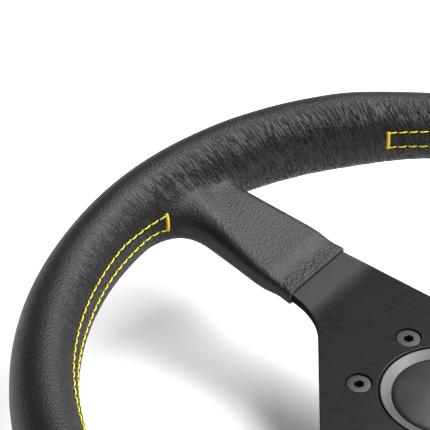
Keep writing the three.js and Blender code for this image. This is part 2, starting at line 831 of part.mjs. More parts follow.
const wheel = new THREE.Group();

function place(name, solid, material) {
  const mesh = new THREE.Mesh(toGeometry(solid), material);
  mesh.name = name;
  wheel.add(mesh);
}

place("spoke_plate", makeSpokePlate(), blackAnodised);
place("rim_core_ring", makeCoreRing(), bareAluminium);
place("rim_foam", makeFoam(), paddingFoam);

place("rim_leather", makeLeather(), blackLeather);

rivetPlaces().forEach(([x, y], i) => {
  place(`spoke_rivet_${i + 1}`, rivet().translate([x, y, 0]), bareAluminium);
});

const hubScrew = makeHubScrew().translate([screwCircle, 0, 0]);
aroundCircle(6, 30).forEach((angle, i) => {
  place(`hub_screw_${i + 1}`, turnedBy(angle, hubScrew), blackSteel);
});

place("horn_housing", makeHornHousing(), blackPlastic);
place("horn_bezel", makeHornBezel(), greyBezel);
place("horn_cap", makeHornCap(), blackPlastic);
place("horn_contact_disc", makeContactDisc(), brass);
place("horn_contact_stud", makeContactStud(), brass);
place(
  "horn_spring",
  makeSpring(hornSpringRadius, 0.8, 3, housingFloorTop + seat, discBottom - seat),
  springSteel,
);
terminalPlaces.forEach(([x], i) => {
  place(`horn_terminal_${i + 1}`, makeTerminal(x), brass);
});

place("adapter_flange", makeAdapterFlange(), blackAnodised);
place("socket_barrel", makeSocketBarrel(), bareAluminium);
aroundCircle(4, 45).forEach((angle, i) => {
  place(`barrel_screw_${i + 1}`, turnedBy(angle, makeBarrelScrew()), blackSteel);
});
place("anti_rattle_ring", ringTorus(ringWire), blackRubber);
place("release_collar", makeReleaseCollar(), blackAnodised);
place(
  "collar_spring",
  makeSpring(
    (barrelRadius + pocketRadius) / 2, springWire, springTurns, pocketFloor + seat, barrelHeight,
  ),
  springSteel,
);
place("stop_washer", makeStopWasher(), brightSteel);
place("retaining_clip", makeCirclip(), springSteel);
ballAngles.forEach((angle, i) => {
  place(`lock_ball_${i + 1}`, turnedBy(angle, makeBall()), brightSteel);
});

export default wheel;
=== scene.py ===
# %% [markdown]
# # A leather steering wheel on a quick release hub
#
# The wheel lies on its hub with the driver's side up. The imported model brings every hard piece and
# every moving body. This lesson gives the wheel its leather, its stitching and its finishes, and
# makes smooth copies of the machined pieces. Lengths are in metres in Blender; the sizes below are
# written in millimetres and multiplied by `MM`.

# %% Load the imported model
import json
import math

import bmesh
import bpy
import numpy as np
from mathutils import Matrix, Vector, noise
from mathutils.bvhtree import BVHTree

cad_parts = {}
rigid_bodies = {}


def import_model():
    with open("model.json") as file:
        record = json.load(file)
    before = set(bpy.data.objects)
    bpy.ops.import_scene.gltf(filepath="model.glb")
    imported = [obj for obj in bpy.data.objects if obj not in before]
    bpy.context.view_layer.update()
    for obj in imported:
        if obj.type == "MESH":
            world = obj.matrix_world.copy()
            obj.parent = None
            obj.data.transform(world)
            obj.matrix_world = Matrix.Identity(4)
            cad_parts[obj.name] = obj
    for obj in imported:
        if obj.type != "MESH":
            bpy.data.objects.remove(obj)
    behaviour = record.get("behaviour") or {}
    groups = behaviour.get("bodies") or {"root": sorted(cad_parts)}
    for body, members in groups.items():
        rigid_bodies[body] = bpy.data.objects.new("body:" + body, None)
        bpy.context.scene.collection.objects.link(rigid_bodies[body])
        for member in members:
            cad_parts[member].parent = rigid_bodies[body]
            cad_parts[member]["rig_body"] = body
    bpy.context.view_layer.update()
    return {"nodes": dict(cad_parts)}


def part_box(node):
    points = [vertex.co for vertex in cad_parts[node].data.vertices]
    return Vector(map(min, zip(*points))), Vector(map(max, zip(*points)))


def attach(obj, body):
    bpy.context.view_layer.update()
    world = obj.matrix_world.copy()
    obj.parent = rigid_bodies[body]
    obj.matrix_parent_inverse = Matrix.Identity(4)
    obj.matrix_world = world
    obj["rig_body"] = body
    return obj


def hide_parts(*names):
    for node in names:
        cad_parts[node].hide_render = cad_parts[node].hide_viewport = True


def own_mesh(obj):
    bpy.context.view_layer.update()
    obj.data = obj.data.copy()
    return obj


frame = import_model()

MM = 0.001

# %% [markdown]
# ## Sizes that the soft cover follows
#
# The flat metal ring inside the rim lies in the rim's middle plane, and the spoke plate's flat
# middle gives the plate's height. Everything soft is measured from these two.

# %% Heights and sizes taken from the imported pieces
ring_low, ring_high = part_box("rim_core_ring")
plate_low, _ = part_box("spoke_plate")
rim_plane = (ring_low[2] + ring_high[2]) / 2 / MM
plate_back = plate_low[2] / MM
plate_thickness = 4.0
plate_front = plate_back + plate_thickness

# the rim, measured to the middle of the grip
rim_radius = 161.5
grip_half_width = 13.5
rim_depth_at_top, rim_depth_at_hands, rim_depth_below = 32, 38, 36

# along a spoke, from the wheel's axis outwards
lower_taper_start = 55
bend_at = 68.8
bend_length = 8.0
leather_end = 82.0
foam_end = 89.0
tongue_start = 141.5
tongue_end = 165.0

# across the spokes, at the hub and at the rim
arm_top, arm_top_at_rim = 44.5, 30.0
arm_bottom, arm_bottom_at_rim = 4.5, 12.0
lower_half_width, lower_half_width_at_rim = 20.5, 13.0

# what lies on the plate
skin = 1.5  # the leather with its glue
side_foam = 1.8  # the most foam beside the plate
print("rim plane", round(rim_plane, 2), "plate front", round(plate_front, 2))

# %% [markdown]
# ## Camera
#
# A close three-quarter view over the left spoke, from the driver's right and a little below the
# wheel's centre. It is made first, so that every later piece can be looked at through it.

# %% The camera
scene = bpy.context.scene
camera_data = bpy.data.cameras.new("camera")
camera = bpy.data.objects.new("camera", camera_data)
scene.collection.objects.link(camera)
camera_place = (295.36 * MM, -506.23 * MM, (556.07 + rim_plane) * MM)
view_back = Vector((0.48986, -0.59640, 0.63588)).normalized()
view_right = Vector((0, 0, 1)).cross(view_back).normalized()
view_up = view_back.cross(view_right)
camera.matrix_world = Matrix(
    [*zip(view_right, view_up, view_back, camera_place), (0, 0, 0, 1)]
)
camera_data.sensor_width = 36
camera_data.lens = 167.4
camera_data.clip_start = 0.01
camera_data.clip_end = 50
scene.camera = camera
print("camera looks down", round(math.degrees(math.asin(view_back.z)), 1), "degrees")

# %% [markdown]
# ## The shape under the leather
#
# A leather cover has no hard corners: where a padded spoke runs into the padded rim, the skin
# bridges the corner. That is what a *distance field* describes well. Each padded member is a
# function that tells how far a point lies outside it, and a smooth minimum of these functions
# rounds every inside corner by a chosen amount. A rough mesh is then pulled on to the surface
# where the field is zero.

# %% Smooth steps and the plate's height along a spoke
def smoothstep(x, low, high):
    t = np.clip((x - low) / (high - low), 0, 1)
    return t * t * (3 - 2 * t)


def lerp(a, b, t):
    return a + (b - a) * t


def hump(x, middle, spread):
    """1 at the middle, fading to 0 on both sides."""
    return np.exp(-(((x - middle) / spread) ** 2))


ring_half_thickness = 2.5
ring_gap = 0.1  # between the ring and the tongue riveted under it
tongue_top = rim_plane - ring_half_thickness - ring_gap
low_middle = plate_back + plate_thickness / 2
high_middle = tongue_top - plate_thickness / 2
spoke_slope = (high_middle - low_middle) / (tongue_start - bend_at)


def plate_middle(distance):
    """The height of the plate's middle: flat, bent up, and flat again under the ring."""
    def bent(at):
        inside = np.clip((distance - at) / bend_length + 0.5, 0, 1)
        beyond = np.maximum(0, distance - at - bend_length / 2)
        return inside * inside * bend_length / 2 + beyond

    return low_middle + spoke_slope * (bent(bend_at) - bent(tongue_start))


print("spoke slope", round(math.degrees(math.atan(spoke_slope)), 1), "degrees")

# %% How thick the rim and the padded spokes are
def rim_half_depth(from_top):
    """Half the rim's front-to-back depth at an angle in degrees from the top of the wheel."""
    at_hands = smoothstep(from_top, 36, 54) * (1 - smoothstep(from_top, 88, 114))
    below = smoothstep(from_top, 88, 114)
    more_at_hands = rim_depth_at_hands - rim_depth_at_top
    more_below = rim_depth_below - rim_depth_at_top
    return (rim_depth_at_top + at_hands * more_at_hands + below * more_below) / 2


fullness, palm_swell, shoulder_swell = 0.6, 0.9, 0.6


def inner_fullness(from_top):
    """How much further than half the grip's width its inner side stands out."""
    return fullness + palm_swell * hump(from_top, 110, 22) + shoulder_swell * hump(from_top, 52, 20)


def foam_over(distance):
    """The foam's thickness over the plate: a step where it starts, then growing to the rim."""
    start = smoothstep(distance, foam_end - 1.5, foam_end + 9)
    growth = smoothstep(distance, foam_end, tongue_start)
    return start * 1.2 + growth * 4.3


def arm_edges(along):
    """The plate's lower and upper edge along a side arm."""
    share = np.clip((along - bend_at) / (tongue_end - bend_at), 0, 1)
    return lerp(arm_bottom, arm_bottom_at_rim, share), lerp(arm_top, arm_top_at_rim, share)


def lower_spoke_half(along):
    """Half the lower spoke's width."""
    share = np.clip((along - lower_taper_start) / (tongue_end - lower_taper_start), 0, 1)
    return lerp(lower_half_width, lower_half_width_at_rim, share)


def padded_member(along, across, height, low, high):
    """Distance outside one padded spoke, a rounded slab whose section changes along its length,
    and which way its surface faces: across the spoke and up."""
    over = foam_over(along)
    half = plate_thickness / 2 + skin + over
    side = skin + np.minimum(over, side_foam)
    middle = (low + high) / 2
    half_width = (high - low) / 2 + side
    corner = 1.8 + over * 0.95
    up = height - plate_middle(along)
    a = np.abs(across - middle) - (half_width - corner)
    b = np.abs(up) - (half - corner)
    outside = np.hypot(np.maximum(a, 0), np.maximum(b, 0))
    inside = np.minimum(np.maximum(a, b), 0)
    body = outside + inside - corner
    ends = np.maximum(leather_end - 6 - along, along - rim_radius)
    face_a = np.maximum(a, 0) + (b <= 0) * 0.01
    face_b = np.maximum(b, 0) + (a <= 0) * 0.01
    length = np.hypot(face_a, face_b) + 1e-9
    facing = (np.sign(across - middle) * face_a / length, np.sign(up) * face_b / length)
    return np.maximum(body, ends), facing


def smooth_min(a, b, blend):
    """The smaller of two distances, with the corner between them rounded."""
    blend = np.maximum(blend, 0.01)
    h = np.maximum(blend - np.abs(a - b), 0) / blend
    return np.minimum(a, b) - h * h * blend / 4


# %% The whole cover as one field
tight_corner, thumb_rest, lower_corner = 9.0, 24.0, 18.0  # how far the skin bridges a corner
waist_depth = 0.6


def cover_field(points):
    """How far each point lies outside the cover."""
    x, y, z = points.T
    radius = np.hypot(x, y)
    from_top = np.degrees(np.abs(np.arctan2(x, y)))
    # the rim: an ellipse carried round the wheel
    half_depth = rim_half_depth(from_top)
    inner_side = radius < rim_radius
    waist = -waist_depth * hump(from_top, 104, 9)
    half_width = grip_half_width + np.where(inner_side, inner_fullness(from_top), waist)
    dr = (radius - rim_radius) / half_width
    dz = (z - rim_plane) / half_depth
    k0 = np.hypot(dr, dz) + 1e-9
    k1 = np.hypot(dr / half_width, dz / half_depth) + 1e-9
    rim = k0 * (k0 - 1) / k1
    faces_out = dr / half_width / k1
    faces_up = dz / half_depth / k1
    only_inside = 1 - smoothstep(radius, 148, 160)
    # the two side arms, mirrored
    low, high = arm_edges(np.abs(x))
    arm, (arm_across, arm_up) = padded_member(np.abs(x), y, z, low, high)
    # above the arm the corner is tight, under it the skin spreads into a thumb rest
    under = smoothstep(-(y - (low + high) / 2), -6, 10)
    agree = faces_out * y / radius * arm_across + faces_up * arm_up
    arm_blend = lerp(tight_corner, thumb_rest, under) * np.clip(1 - agree, 0, 1) * only_inside
    # the lower spoke
    half = lower_spoke_half(-y)
    lower, (lower_across, lower_up) = padded_member(-y, x, z, -half, half)
    agree = faces_out * x / radius * lower_across + faces_up * lower_up
    lower_blend = lower_corner * np.clip(1 - agree, 0, 1) * only_inside
    return smooth_min(smooth_min(rim, arm, arm_blend), lower, lower_blend)


def cover_normal(points, step=0.05):
    """Which way the field grows fastest at each point."""
    gradient = np.empty_like(points)
    for axis in range(3):
        shift = np.zeros(3)
        shift[axis] = step
        gradient[:, axis] = cover_field(points + shift) - cover_field(points - shift)
    return gradient / (np.linalg.norm(gradient, axis=1, keepdims=True) + 1e-12)


def pull_to_cover(points, rounds=6, limit=3.0):
    """Moves points on to the cover, at most a limit in each round."""
    for _ in range(rounds):
        distance = np.clip(cover_field(points), -limit, limit)
        points = points - cover_normal(points) * distance[:, None]
    return points


# %% [markdown]
# ## The leather cover
#
# The cover starts as a rough union of a ring and three slabs. A voxel remesh turns that into one
# even skin of small quads, and the distance field pulls every vertex to its true place. The even
# quads matter, because the gentle hand-wrapped unevenness is moved into the mesh afterwards.

# %% Small helpers for making mesh objects
def mesh_object(name, vertices, faces):
    """A mesh object at the origin from vertices in millimetres."""
    mesh = bpy.data.meshes.new(name)
    mesh.from_pydata([tuple(c * MM for c in v) for v in vertices], [], faces)
    mesh.update()
    obj = bpy.data.objects.new(name, mesh)
    scene.collection.objects.link(obj)
    return obj


def evaluated_mesh(obj):
    """The object's mesh after its modifiers, as a new plain mesh."""
    graph = bpy.context.evaluated_depsgraph_get()
    graph.update()
    return bpy.data.meshes.new_from_object(obj.evaluated_get(graph))


def apply_modifiers(obj):
    mesh = evaluated_mesh(obj)
    old = obj.data
    obj.modifiers.clear()
    obj.data = mesh
    mesh.name = obj.name
    if old.users == 0:
        bpy.data.meshes.remove(old)
    return obj


def swept_rings(rings, closed=False):
    """Vertices and faces of a skin over rings of equal length; open ends get a cap."""
    count = len(rings[0])
    vertices = [p for ring in rings for p in ring]
    faces = []
    spans = len(rings) if closed else len(rings) - 1
    for k in range(spans):
        a = k * count
        b = ((k + 1) % len(rings)) * count
        for i in range(count):
            j = (i + 1) % count
            faces.append((a + i, a + j, b + j, b + i))
    if not closed:
        faces.append(tuple(reversed(range(count))))
        faces.append(tuple(range((len(rings) - 1) * count, len(rings) * count)))
    return vertices, faces


# %% The rough union, remeshed and pulled on to the field
def rough_cover():
    rings = []
    around, section = 180, 20
    for i in range(around):
        angle = math.tau * i / around
        from_top = abs(math.degrees(math.atan2(math.cos(angle), math.sin(angle))))
        depth = float(rim_half_depth(np.array(from_top)))
        ring = []
        for k in range(section):
            turn = math.tau * k / section
            r = rim_radius + grip_half_width * math.cos(turn)
            ring.append((r * math.cos(angle), r * math.sin(angle), rim_plane + depth * math.sin(turn)))
        rings.append(ring)
    objects = [mesh_object("rough_rim", *swept_rings(rings, closed=True))]
    for name, turn in (("right", 0.0), ("left", math.pi), ("lower", -math.pi / 2)):
        rings = []
        for s in np.linspace(leather_end - 5, rim_radius, 40):
            low, high = arm_edges(s)
            if name == "left":
                low, high = -high, -low
            if name == "lower":
                low, high = -lower_spoke_half(s), lower_spoke_half(s)
            over = float(foam_over(np.array(s)))
            side = skin + min(over, side_foam)
            half_thickness = plate_thickness / 2 + skin + over
            flare = max(0.0, s - 135) * 0.5
            if name == "right":
                low -= flare
            if name == "left":
                high += flare
            z = float(plate_middle(np.array(s)))
            corners = (
                (high + side, half_thickness), (low - side, half_thickness),
                (low - side, -half_thickness), (high + side, -half_thickness),
            )
            ring = []
            for across, up in corners:
                x = s * math.cos(turn) - across * math.sin(turn)
                y = s * math.sin(turn) + across * math.cos(turn)
                ring.append((x, y, z + up))
            rings.append(ring)
        objects.append(mesh_object("rough_" + name, *swept_rings(rings)))
    return objects


def join_objects(objects, name):
    """All the objects' meshes as one object; the others are removed."""
    joined = bmesh.new()
    for obj in objects:
        joined.from_mesh(obj.data)
    mesh = bpy.data.meshes.new(name)
    joined.to_mesh(mesh)
    joined.free()
    for obj in objects:
        old = obj.data
        bpy.data.objects.remove(obj)
        bpy.data.meshes.remove(old)
    result = bpy.data.objects.new(name, mesh)
    scene.collection.objects.link(result)
    return result


def turn_faces_out(obj):
    work = bmesh.new()
    work.from_mesh(obj.data)
    bmesh.ops.recalc_face_normals(work, faces=work.faces)
    work.to_mesh(obj.data)
    work.free()


cover_voxel = 1.3
leather = join_objects(rough_cover(), "leather_cover")
turn_faces_out(leather)
remesh = leather.modifiers.new("even_skin", "REMESH")
remesh.mode = "VOXEL"
remesh.voxel_size = cover_voxel * MM
apply_modifiers(leather)


def vertex_array(mesh):
    flat = np.empty(len(mesh.vertices) * 3)
    mesh.vertices.foreach_get("co", flat)
    return flat.reshape(-1, 3) / MM


def set_vertex_array(mesh, points):
    mesh.vertices.foreach_set("co", (points * MM).ravel())
    mesh.update()


def relax(mesh, rounds):
    """Slides vertices half way to the middle of their neighbours."""
    points = vertex_array(mesh)
    edges = np.empty(len(mesh.edges) * 2, dtype=np.int64)
    mesh.edges.foreach_get("vertices", edges)
    a, b = edges.reshape(-1, 2).T
    degree = np.bincount(a, minlength=len(points)) + np.bincount(b, minlength=len(points))
    for _ in range(rounds):
        total = np.zeros_like(points)
        np.add.at(total, a, points[b])
        np.add.at(total, b, points[a])
        points = lerp(points, total / degree[:, None], 0.5)
    return points


points = pull_to_cover(vertex_array(leather.data))
set_vertex_array(leather.data, points)
for _ in range(3):
    points = pull_to_cover(relax(leather.data, 4), rounds=3)
    set_vertex_array(leather.data, points)
print("leather skin:", len(leather.data.polygons), "quads")

# %% [markdown]
# ## Cutting the cover at the spokes
#
# The real leather stops in a straight cut across each spoke, with its raw edge showing as a thin
# line on the plate. The skin is cut with a plane, and the cut's edge is folded down on to the
# plate and a little way back under, so the leather shows its thickness.

# %% The three cuts and their raw edges
shown_end = leather_end + 1.3
arm_middle = 22.0
fold_down, fold_out, fold_under = 1.4, -0.6, 2.5
cut_from, cut_to, cut_side = 70, 100, 60  # only the mesh in this zone is touched
stray_below = 79  # nothing of the closed end nearer the hub than this is kept
face_height, flank_side = 2.6, 18  # beyond these the edge folds down, or in from the side


def cut_cover(obj, direction, slant=0.0):
    """Opens the cover across one spoke; direction points along the spoke, in the wheel's plane."""
    along = Vector(direction)
    across = Vector((-along.y, along.x, 0))
    normal = (along + across * slant).normalized()
    origin = along * shown_end * MM
    if abs(along.x) > 0.5:
        origin += Vector((0, arm_middle * MM, 0))
    work = bmesh.new()
    work.from_mesh(obj.data)
    near = [
        v for v in work.verts
        if cut_from * MM < v.co.dot(along) < cut_to * MM
        and abs(v.co.dot(across)) < cut_side * MM
    ]
    near_set = set(near)
    faces = {f for v in near for f in v.link_faces}
    edges = {e for f in faces for e in f.edges}
    verts = {v for f in faces for v in f.verts}
    cut = bmesh.ops.bisect_plane(
        work, geom=[*verts, *edges, *faces], plane_co=origin, plane_no=normal, clear_inner=True
    )
    stray = [v for v in work.verts if v.co.dot(along) < stray_below * MM and v in near_set]
    bmesh.ops.delete(work, geom=stray, context="VERTS")
    rim_edges = [e for e in cut["geom_cut"] if isinstance(e, bmesh.types.BMEdge) and e.is_valid]
    rim_edges = [e for e in rim_edges if e.is_boundary]
    # fold the raw edge down on to the plate, then back under the leather; the first fold is the
    # cut face, which has a finish of its own
    middle_height = float(plate_middle(np.array(leather_end))) * MM
    for inset, back in ((fold_down, fold_out), (0.0, fold_under)):
        made = bmesh.ops.extrude_edge_only(work, edges=rim_edges)["geom"]
        if inset:
            for g in made:
                if isinstance(g, bmesh.types.BMFace):
                    g.material_index = 1
        new_verts = [g for g in made if isinstance(g, bmesh.types.BMVert)]
        centre = sum((v.co for v in new_verts), Vector()) / len(new_verts)
        for v in new_verts:
            up = math.copysign(1, v.co.z - middle_height)
            side = math.copysign(1, (v.co - centre).dot(across))
            if inset and abs(v.co.z - middle_height) > face_height * MM:
                v.co.z -= up * inset * MM
            if inset and abs((v.co - centre).dot(across)) > flank_side * MM:
                v.co -= across * side * inset * MM
            v.co += along * back * MM
        rim_edges = [g for g in made if isinstance(g, bmesh.types.BMEdge) and g.is_boundary]
    bmesh.ops.recalc_face_normals(work, faces=work.faces)
    work.to_mesh(obj.data)
    work.free()


cut_cover(leather, (-1, 0, 0), slant=0.01)
cut_cover(leather, (1, 0, 0), slant=-0.02)
cut_cover(leather, (0, -1, 0))
print("leather cut at the spokes:", len(leather.data.polygons), "faces")

# %% [markdown]
# ## What the leather needs to know about itself
#
# Its grain is the same everywhere, but its wrinkles are not: on the rim they lie across the grip,
# on the spokes across the spoke, and they bunch where the skin turns inwards. Each vertex
# therefore gets its place *in the leather's own directions*, as an attribute that the shader
# reads: how far along the rim or spoke, how far across, and how strongly the skin is gathered.

# %% Leather directions, gathering and the seam, as attributes
crease_slant = 0.5  # how far a crease runs along the rim for each millimetre across it


def section_angle(points):
    """Degrees round the rim's section, 0 on the inner side and 90 towards the driver."""
    radius = np.hypot(points[:, 0], points[:, 1])
    return np.degrees(np.arctan2(points[:, 2] - rim_plane, rim_radius - radius))


def on_spoke(points):
    """1 on a spoke's leather, 0 on the rim, and in between where they run together."""
    radius = np.hypot(points[:, 0], points[:, 1])
    return 1 - smoothstep(radius, 143, 151)


def set_attribute(mesh, name, values, kind="FLOAT"):
    layer = mesh.attributes.new(name, kind, "POINT")
    key = "vector" if kind == "FLOAT_VECTOR" else "value"
    layer.data.foreach_set(key, np.ascontiguousarray(values, dtype=np.float32).ravel())


def describe_leather(mesh):
    points = vertex_array(mesh)
    x, y, z = points.T
    radius = np.hypot(x, y)
    turn = section_angle(points)
    spoke = on_spoke(points)
    # along the rim, as a circle so that it closes on itself without a jump; creases lie a little
    # slanted across the grip, so the place along the rim shifts with the place across it
    from_top = np.degrees(np.abs(np.arctan2(x, y)))
    across = turn * grip_half_width * math.pi / 180
    slant = crease_slant * np.clip(x / 25, -1, 1) * smoothstep(-from_top, -110, -70)
    angle = np.arctan2(y, x) + slant * across / rim_radius
    rim_place = np.stack([np.cos(angle) * rim_radius, np.sin(angle) * rim_radius, across], axis=1)
    set_attribute(mesh, "rim_place", rim_place, "FLOAT_VECTOR")
    # gathered on the inner half of the rim, most of all in the upper arc and at the spokes
    inner = smoothstep(-np.abs(turn + 6), -96, -30)
    upper = 1 - smoothstep(from_top, 60, 84)
    near_spoke = hump(np.minimum(np.abs(from_top - 80), np.abs(from_top - 180)), 0, 13)
    gather = inner * np.clip(0.22 + 0.78 * upper + 0.4 * near_spoke, 0, 1) * (1 - spoke)
    end_band = smoothstep(-np.maximum(np.abs(x), -y), -foam_end - 3, -foam_end + 1) * spoke
    set_attribute(mesh, "gather", np.clip(gather, 0, 1))
    set_attribute(mesh, "end_band", end_band)
    # distance from the seam between the two rows of stitches; far away on the rim's outer side
    seam_height = np.interp(from_top, (0, 92, 114, 132), (2.6, 1.0, 4.2, 6.8))
    inside = (radius < rim_radius).astype(float)
    seam_offset = np.where(inside > 0, z - (rim_plane + seam_height), 99.0)
    set_attribute(mesh, "seam_offset", seam_offset)
    sewn = np.maximum(1 - smoothstep(from_top, 41, 44), smoothstep(from_top, 92, 95))
    sewn = np.where(from_top > 170.5, 0.0, sewn)
    set_attribute(mesh, "sewn", sewn * inside * (1 - spoke))


# %% The hand-wrapped unevenness, moved into the mesh
swell_size, swell_height = 23.0, 0.16
fold_size, fold_height = (3.6, 3.6, 11.0), 0.2  # narrow along the rim, long across the grip


def wrap_unevenness(mesh):
    """Long shallow swells, and low folds across the grip where the skin is gathered."""
    points = vertex_array(mesh)
    normals = cover_normal(points)
    gather = np.empty(len(points))
    mesh.attributes["gather"].data.foreach_get("value", gather)
    offsets = np.empty(len(points))
    place = np.empty(len(points) * 3)
    mesh.attributes["rim_place"].data.foreach_get("vector", place)
    fold_place = place.reshape(-1, 3) / np.array(fold_size)
    for i, point in enumerate(points):
        swell = noise.noise(Vector(point) / swell_size) * swell_height
        fold = noise.noise(Vector(fold_place[i])) if gather[i] > 0.01 else 0.0
        offsets[i] = swell + gather[i] * fold_height * fold
    keep = smoothstep(np.maximum(np.abs(points[:, 0]), -points[:, 1]), 84, 96)
    set_vertex_array(mesh, points + normals * (offsets * keep)[:, None])


describe_leather(leather.data)
wrap_unevenness(leather.data)
for polygon in leather.data.polygons:
    polygon.use_smooth = True
print("leather attributes:", [a.name for a in leather.data.attributes if not a.name.startswith(".")])

# %% [markdown]
# ## Building shaders from short words
#
# Every finish below is a small node tree. A helper class keeps them readable: it makes a node,
# links what it is given, and returns the output that the next step needs.

# %% A small shader builder
class Finish:
    def __init__(self, name):
        self.material = bpy.data.materials.new(name)
        self.material.use_nodes = True
        self.tree = self.material.node_tree
        self.surface = self.tree.nodes["Principled BSDF"]
        self.place = self.node("ShaderNodeTexCoord").outputs["Object"]

    def node(self, kind, **settings):
        made = self.tree.nodes.new(kind)
        for key, value in settings.items():
            setattr(made, key, value)
        return made

    def feed(self, socket, value):
        if isinstance(value, bpy.types.NodeSocket):
            self.tree.links.new(value, socket)
        else:
            socket.default_value = value

    def set(self, **values):
        for key, value in values.items():
            self.feed(self.surface.inputs[key.replace("_", " ")], value)
        return self

    def attribute(self, name, output="Fac"):
        return self.node("ShaderNodeAttribute", attribute_name=name).outputs[output]

    def math(self, operation, a, b=0.0):
        made = self.node("ShaderNodeMath", operation=operation)
        for socket, value in zip(made.inputs, (a, b)):
            self.feed(socket, value)
        return made.outputs[0]

    def stretch(self, vector, scale, shift=(0, 0, 0), turn=(0, 0, 0)):
        made = self.node("ShaderNodeMapping")
        self.feed(made.inputs["Vector"], vector)
        made.inputs["Scale"].default_value = scale
        made.inputs["Location"].default_value = shift
        made.inputs["Rotation"].default_value = turn
        return made.outputs["Vector"]

    def noise(self, vector, scale, detail=3.0, roughness=0.5, distortion=0.0):
        made = self.node("ShaderNodeTexNoise")
        self.feed(made.inputs["Vector"], vector)
        made.inputs["Scale"].default_value = scale
        made.inputs["Detail"].default_value = detail
        made.inputs["Roughness"].default_value = roughness
        made.inputs["Distortion"].default_value = distortion
        return made.outputs["Fac"]

    def cells(self, vector, scale, smoothness):
        made = self.node("ShaderNodeTexVoronoi", feature="SMOOTH_F1")
        self.feed(made.inputs["Vector"], vector)
        made.inputs["Scale"].default_value = scale
        made.inputs["Smoothness"].default_value = smoothness
        return made.outputs["Distance"]

    def remap(self, value, low, high, to_low=0.0, to_high=1.0):
        made = self.node("ShaderNodeMapRange")
        self.feed(made.inputs["Value"], value)
        ends = {"From Min": low, "From Max": high, "To Min": to_low, "To Max": to_high}
        for name, end in ends.items():
            made.inputs[name].default_value = end
        return made.outputs["Result"]

    def mix(self, share, a, b):
        made = self.node("ShaderNodeMix", data_type="RGBA")
        self.feed(made.inputs["Factor"], share)
        self.feed(made.inputs["A"], a)
        self.feed(made.inputs["B"], b)
        return made.outputs["Result"]

    def bump(self, height, distance_mm, strength=1.0, under=None):
        made = self.node("ShaderNodeBump")
        made.inputs["Strength"].default_value = strength
        made.inputs["Distance"].default_value = distance_mm * MM
        self.feed(made.inputs["Height"], height)
        if under is not None:
            self.feed(made.inputs["Normal"], under)
        return made.outputs["Normal"]


def grey(value):
    return (value, value, value, 1)


# %% [markdown]
# ## Black leather
#
# Real leather has three scales of relief: a pebble grain of about a millimetre, finer pores in
# it, and creases where it was gathered round the grip. The grain is made of smooth cells; the
# creases are noise stretched in the leather's own directions, so they lie across the grip; and
# the band that is glued straight on the plate is crinkled more coarsely. The crease lines are
# painted darker, as painted shade, and made duller; their crests are painted paler, as a
# painted highlight.

# %% The leather's finish
def leather_finish():
    f = Finish("black leather")
    warp = f.noise(f.place, 260, detail=2)
    grain = f.cells(f.stretch(f.place, (1, 0.7, 1)), 1080, smoothness=0.3)
    grain = f.math("ADD", grain, f.math("MULTIPLY", warp, 0.3))
    pores = f.noise(f.place, 2600, detail=2)
    patchy = f.noise(f.place, 55, detail=3)
    rim_place = f.attribute("rim_place", "Vector")
    creases = f.noise(
        f.stretch(rim_place, (0.62, 0.62, 0.12)), 1.0, detail=1.5, roughness=0.45, distortion=0.45
    )
    crease_line = f.math("ABSOLUTE", f.math("SUBTRACT", creases, 0.5))
    crease_line = f.remap(crease_line, 0.0, 0.07)
    fine_creases = f.noise(f.stretch(rim_place, (1.1, 1.1, 0.26)), 1.0, detail=2, distortion=0.5)
    gather = f.attribute("gather")
    crinkle = f.cells(f.place, 760, smoothness=0.25)
    end_band = f.attribute("end_band")
    seam = f.math("ABSOLUTE", f.attribute("seam_offset"))
    groove = f.math("MULTIPLY", f.remap(seam, 0.9, 0.0), f.attribute("sewn"))
    base = f.bump(f.math("MULTIPLY", crease_line, gather), 1.9, 1.0)
    base = f.bump(f.math("MULTIPLY", fine_creases, gather), 1.1, 0.85, base)
    base = f.bump(f.math("MULTIPLY", groove, -1.0), 0.55, 0.9, base)
    base = f.bump(f.math("MULTIPLY", crinkle, end_band), 0.36, 0.8, base)
    base = f.bump(grain, 0.24, 0.8, base)
    base = f.bump(pores, 0.06, 0.4, base)
    tone = f.mix(f.remap(grain, 0.1, 0.7), grey(0.0095), grey(0.0055))
    tone = f.mix(f.remap(patchy, 0.35, 0.7), tone, grey(0.0105))
    # painted shade: the crease lines are painted near black where the skin is gathered; the same mask
    # also makes them duller
    crease_shade = f.math("MULTIPLY", f.remap(crease_line, 0.55, 0.0), gather)
    # painted highlight: the crease crests are painted paler where the skin is gathered
    painted_crest_highlight = f.math("MULTIPLY", f.remap(crease_line, 0.6, 1.0), gather)
    tone = f.mix(f.math("MULTIPLY", painted_crest_highlight, 0.7), tone, grey(0.017))
    tone = f.mix(crease_shade, tone, grey(0.001))
    uneven = f.remap(grain, 0.2, 0.8, -0.03, 0.05)
    rough = f.math("ADD", f.remap(patchy, 0.2, 0.8, 0.47, 0.55), uneven)
    rough = f.math("ADD", rough, f.math("MULTIPLY", crease_shade, 0.4))
    f.set(Base_Color=tone, Roughness=rough, Normal=base)
    f.surface.inputs["Specular IOR Level"].default_value = 0.42
    f.surface.inputs["IOR"].default_value = 1.42
    return f.material


def raw_edge_finish():
    """The cut face of the hide: dark grey, fibrous and matt."""
    f = Finish("cut edge of the leather")
    fibres = f.noise(f.stretch(f.place, (1, 1, 0.3)), 2400, detail=3)
    tone = f.mix(fibres, grey(0.016), grey(0.05))
    rough = f.remap(fibres, 0.2, 0.8, 0.75, 0.9)
    f.set(Base_Color=tone, Roughness=rough, Normal=f.bump(fibres, 0.15, 0.8))
    return f.material


black_leather = leather_finish()
raw_edge = raw_edge_finish()
leather.data.materials.append(black_leather)
leather.data.materials.append(raw_edge)
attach(leather, "wheel")
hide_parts("rim_leather", "rim_foam")
print("leather finish nodes:", len(black_leather.node_tree.nodes))

# %% [markdown]
# ## Stitching
#
# The leather's two edges meet on the inside of the grip, and each edge is sewn down with its own
# row of thick yellow thread. One stitch is a short bent thread, and hundreds follow a path, which
# is what *Geometry Nodes* are for: the tree walks along a path, puts a stitch at every pitch, and
# turns it to lie along the path and face away from the leather.

